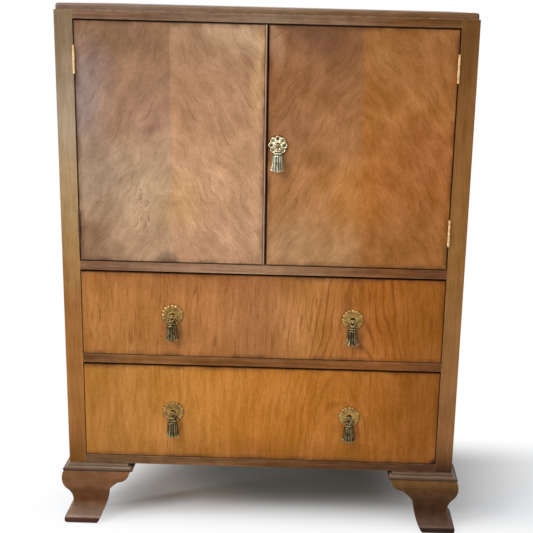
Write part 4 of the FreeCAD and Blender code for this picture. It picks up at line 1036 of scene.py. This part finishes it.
@dataclass
class Studio:
    """The pale floor, the soft lights, and the camera at the photograph's view."""

    camera_place: tuple[float, float, float] = (0.1004, -2.0826, 1.0277)
    yaw_deg: float = -0.537
    pitch_deg: float = 14.462
    roll_deg: float = -1.444
    lens_mm: float = 68.72
    shift: float = -0.0760

    def build(self) -> None:
        """Makes the floor, the lights, the world and the camera."""
        self.make_floor()
        self.make_world()
        self.make_light("window", (-1.5, -1.8, 1.9), (0.0, -0.2, 0.5), (0.7, 0.9), 25.0, "#fffaf4")
        self.make_light("glint", (-1.6, -0.65, 0.5), (0.0, -0.2, 0.45), (0.12, 0.9), 10.0, "#f4fbff")
        self.make_light("room", (1.6, -2.4, 1.6), (0.0, -0.2, 0.5), (1.6, 1.6), 7.0, "#fff4e6")
        self.make_light("ceiling", (-0.7, -1.1, 2.8), (0.0, -0.2, 0.2), (2.0, 2.0), 46.5, "#ffffff")
        self.make_camera()

    def make_camera(self) -> None:
        """Sets the camera from its place, its turn, its tilt down and its lean."""
        yaw, pitch, roll = (math.radians(a) for a in (self.yaw_deg, self.pitch_deg, self.roll_deg))
        ahead = Vector((math.sin(yaw) * math.cos(pitch), math.cos(yaw) * math.cos(pitch), -math.sin(pitch)))
        level = Vector((math.cos(yaw), -math.sin(yaw), 0.0))
        plumb = ahead.cross(level)
        right = level * math.cos(roll) + plumb * math.sin(roll)
        down = plumb * math.cos(roll) - level * math.sin(roll)
        data = bpy.data.cameras.new("camera")
        data.lens, data.sensor_width, data.shift_x = self.lens_mm, 36.0, self.shift
        camera = bpy.data.objects.new("camera", data)
        turn = Matrix((right, -down, -ahead)).transposed().to_4x4()
        camera.matrix_world = Matrix.Translation(self.camera_place) @ turn
        bpy.context.scene.collection.objects.link(camera)
        bpy.context.scene.camera = camera

    def make_light(self, name: str, place: Sequence[float], target: Sequence[float],
                   size: tuple[float, float], watts: float, colour: str) -> None:
        """Hangs a soft rectangular light.

        Args:
            name: Its name.
            place: Where it hangs.
            target: What it faces.
            size: Its width and height.
            watts: Its power.
            colour: Its colour.
        """
        data = bpy.data.lights.new(name, "AREA")
        data.shape, data.energy, data.color = "RECTANGLE", watts, linear(colour)[:3]
        data.size, data.size_y = size
        lamp = bpy.data.objects.new(name, data)
        turn = (Vector(target) - Vector(place)).to_track_quat("-Z", "Y")
        lamp.matrix_world = Matrix.Translation(place) @ turn.to_matrix().to_4x4()
        bpy.context.scene.collection.objects.link(lamp)

    def seen(self, tree: Tree) -> Socket:
        """Tells what is seen from what only lights the object.

        Args:
            tree: The material's or the world's nodes.

        Returns:
            1 for rays that come from the camera, a reflection or glass, and 0 for the rest.
        """
        rays = add(tree, "LightPath").node
        straight = add(tree, "Math.MAXIMUM", (rays.outputs["Is Camera Ray"], rays.outputs["Is Glossy Ray"]))
        return add(tree, "Math.MAXIMUM", (straight, rays.outputs["Is Transmission Ray"]))

    def make_world(self) -> None:
        """A white surround where it is seen, and a plain grey one for light."""
        world = bpy.data.worlds.new("surround")
        world.use_nodes = True
        tree = world.node_tree
        tone = add(tree, "Mix", (self.seen(tree), linear("#848688"), linear("#ffffff")))
        tree.links.new(tone, tree.nodes["Background"].inputs["Color"])
        bpy.context.scene.world = world

    def make_floor(self) -> None:
        """A pale floor that takes the object's shadow, and turns to plain white away from the object.

        The white starts over a soft edge on each side, and the left edge slants right towards the back.
        """
        steps = np.linspace(-8, 8, 17)
        wide, deep = np.meshgrid(steps, steps, indexing="ij")
        points = np.stack([wide, deep, np.zeros_like(wide)], axis=-1)
        index = np.arange(wide.size).reshape(wide.shape)
        quads = np.stack([index[:-1, :-1], index[1:, :-1], index[1:, 1:], index[:-1, 1:]], axis=-1)
        mesh = bpy.data.meshes.new("floor")
        mesh.from_pydata(points.reshape(-1, 3).tolist(), [], quads.reshape(-1, 4).tolist())
        floor = bpy.data.objects.new("floor", mesh)
        bpy.context.scene.collection.objects.link(floor)
        made, tree, shader = start_material("pale_floor")
        shader.inputs["Roughness"].default_value = 0.9
        shader.inputs["Specular IOR Level"].default_value = 0.1
        place = add(tree, "TexCoord", out="Object")
        # Darker and bluish under the carcass: painted shadow, and a tint to answer the brown light that the
        # wood throws there
        under = add(tree, "Mapping", {"Vector": place, "Location": (0.08, 0.03, 0.0),
                                      "Scale": (0.3, 0.17, 1.0)}, vector_type="TEXTURE")
        under = add(tree, "VectorMath.LENGTH", (under,))
        near = add(tree, "MapRange", (under, 0.5, 1.15, 1.0, 0.0))
        tone = add(tree, "Mix", (near, linear("#e9eff6"), linear("#b4c3d0")))
        tree.links.new(tone, shader.inputs["Base Color"])
        across, back, _ = add(tree, "SeparateXYZ", (place,)).node.outputs
        slant = add(tree, "Math.MULTIPLY_ADD", (back, -0.5, across))
        edges = ((slant, -0.45, -0.19), (across, 0.9, 0.2), (back, -0.28, -0.09), (back, 0.26, 0.10))
        shaded_part = 1.0
        for way, out, inside in edges:
            edge = add(tree, "MapRange", (way, out, inside))
            shaded_part = add(tree, "Math.MULTIPLY", (edge, shaded_part))
        white = add(tree, "Emission", {"Color": linear("#ffffff")})
        plain = add(tree, "Math.SUBTRACT", (1.0, shaded_part))
        share = add(tree, "Math.MULTIPLY", (plain, self.seen(tree)))
        mixed = add(tree, "MixShader", (share, shader.outputs[0], white))
        tree.links.new(mixed, tree.nodes["Material Output"].inputs["Surface"])
        mesh.materials.append(made)


def drawer_pulls(drawer: str) -> tuple[Pull, ...]:
    """The two pulls of a drawer."""
    return tuple(Pull(drawer, f"{drawer}_{side.value}_tassel", f"{drawer}_pull_plates", 16, 20.9, 0.26)
                 for side in Side)


def main() -> None:
    """Builds every sub-assembly in order, then the studio."""
    logging.basicConfig(level=logging.INFO, format="%(name)s: %(message)s")
    bpy.context.scene.view_settings.view_transform = "Standard"
    door_pull = Pull("right_door", "right_door_tassel", "right_door_pull_plate", 8, 18.4, 0.36, True,
                     crest=0.85, hem=0.88)
    upper, lower = drawer_pulls("upper_drawer"), drawer_pulls("lower_drawer")
    Carcass().build()
    Feet().build()
    # The left door's greyer left-leaf tones and the two grey clouds at its left edge are a painted sheen of
    # light on the polish
    Door(Side.LEFT, ((0.1, "#ae8a6a"), (0.35, "#b39272"), (0.6, "#9a745a"), (0.92, "#896448")),
         ((0.1, "#b48764"), (0.35, "#bd8f69"), (0.65, "#ac7f5c"), (0.92, "#997456")), (36, 2),
         (ToneAndLightCloud("#76583f", (0.18, 0.92), (130, 85), 0.6), ToneAndLightCloud("#84726c", (0.02, 0.70), (85, 140), 0.85),
          ToneAndLightCloud("#8c745e", (0.05, 0.38), (110, 130), 0.8), ToneAndLightCloud("#8a6152", (0.42, 0.58), (36, 15), 0.6),
          ToneAndLightCloud("#74523a", (0.05, 0.05), (120, 100), 0.75), ToneAndLightCloud("#5c4638", (0.48, 0.02), (42, 26), 0.6),
          ToneAndLightCloud("#c09460", (0.56, 0.26), (48, 75), 0.5), ToneAndLightCloud("#cba684", (0.84, 0.96), (90, 50), 0.5),
          ToneAndLightCloud("#cba26c", (0.98, 0.84), (26, 110), 0.6), ToneAndLightCloud("#765439", (0.37, 0.23), (18, 65), 0.6, True),
          ToneAndLightCloud("#7c5c42", (0.31, 0.27), (20, 65), 0.4, True))).build()
    Door(Side.RIGHT, ((0.1, "#a9794c"), (0.35, "#a87140"), (0.65, "#99653a"), (0.92, "#865836")),
         ((0.1, "#9b612a"), (0.35, "#a46128"), (0.65, "#a5682e"), (0.92, "#955f2d")), (46, 12),
         (ToneAndLightCloud("#ba752c", (0.47, 0.30), (85, 105), 0.55), ToneAndLightCloud("#5e4030", (0.24, 0.98), (80, 60), 0.6),
          ToneAndLightCloud("#b08760", (0.12, 0.08), (80, 70), 0.5), ToneAndLightCloud("#8a5e42", (0.14, 0.60), (60, 75), 0.4),
          ToneAndLightCloud("#965226", (0.86, 0.52), (70, 90), 0.45), ToneAndLightCloud("#a8743c", (0.62, 0.90), (55, 60), 0.4),
          ToneAndLightCloud("#a07a5a", (0.03, 0.94), (30, 60), 0.6)), door_pull).build()
    # Pale along its crown, a painted highlight on the rounded bead, with old red stain left on the side
    # towards the gap
    bead_tones_with_highlight = ((0.1, "#5a3e2e"), (0.28, "#b89c88"), (0.45, "#8c6a54"), (0.62, "#6e4426"), (0.9, "#6a2e0e"))
    bead = BoardWood("polished_walnut_bead", bead_tones_with_highlight, "#d8c4b4", Grain.UPRIGHT, Grain.ACROSS,
                     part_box("left_door_bead"), band_mm=9, wear=0.4, coat=0.3)
    dress("left_door_bead", bead.build())
    # Tones from left to right: the darker right ends are partly painted shade. The upper drawer's cloud makes
    # it darker towards its top.
    Drawer("upper_drawer", ("#a76c32", "#ab6d36", "#a36a3a", "#b8793c", "#a96118", "#995812"), "#6e3406",
           0.76, 0.55, upper, (ToneAndLightCloud("#8a5226", (0.3, 1.05), (420, 70), 0.45),), (0.35, 0.6)).build()
    # The larger cloud makes it darker towards its foot; the smaller, near-black one is painted shade for a
    # chipped corner
    Drawer("lower_drawer", ("#ad722e", "#bc792a", "#b56e1c", "#b6701e", "#ab661a", "#94540e"), "#8a4806",
           0.72, 0.4, lower, (ToneAndLightCloud("#7e4a18", (0.5, -0.05), (520, 75), 0.5),
                              ToneAndLightCloud("#160b05", (1.0, 0.0), (17, 14), 1.0)), (0.0, 0.6)).build()
    Metalwork().build()
    plate_brass = Metal("pressed_brass_plate", "#b48e52", "#866638", "#3c260c", 0.22, True).build()
    door_brass = Metal("bright_brass_plate", "#cabc9c", "#988868", "#35260f", 0.20, True).build()
    tassel_brass = Metal("tarnished_cast_brass", "#9c8860", "#5c4e34", "#1e150a", 0.26, True,
                         hollows=(0.1, 0.9)).build()
    # A brighter copy of the tassel brass for the door's tassel: painted highlight where it catches more light
    door_tassel_painted_highlight = Metal("cast_brass_painted_highlight", "#ccc8b0", "#948e74", "#1e170b", 0.26, True,
                              hollows=(0.1, 0.9)).build()
    stud_brass = Metal("handled_stud_brass", "#98865c", "#5e5036", "#241a0e", 0.14).build()
    door_pull.build(door_brass, door_tassel_painted_highlight)
    for pull in (*upper, *lower):
        pull.build(plate_brass, tassel_brass)
    for node in ("right_door_pull_stud", "upper_drawer_pull_studs", "lower_drawer_pull_studs"):
        dress(node, stud_brass)
    Studio().build()


if __name__ == "__main__":
    main()
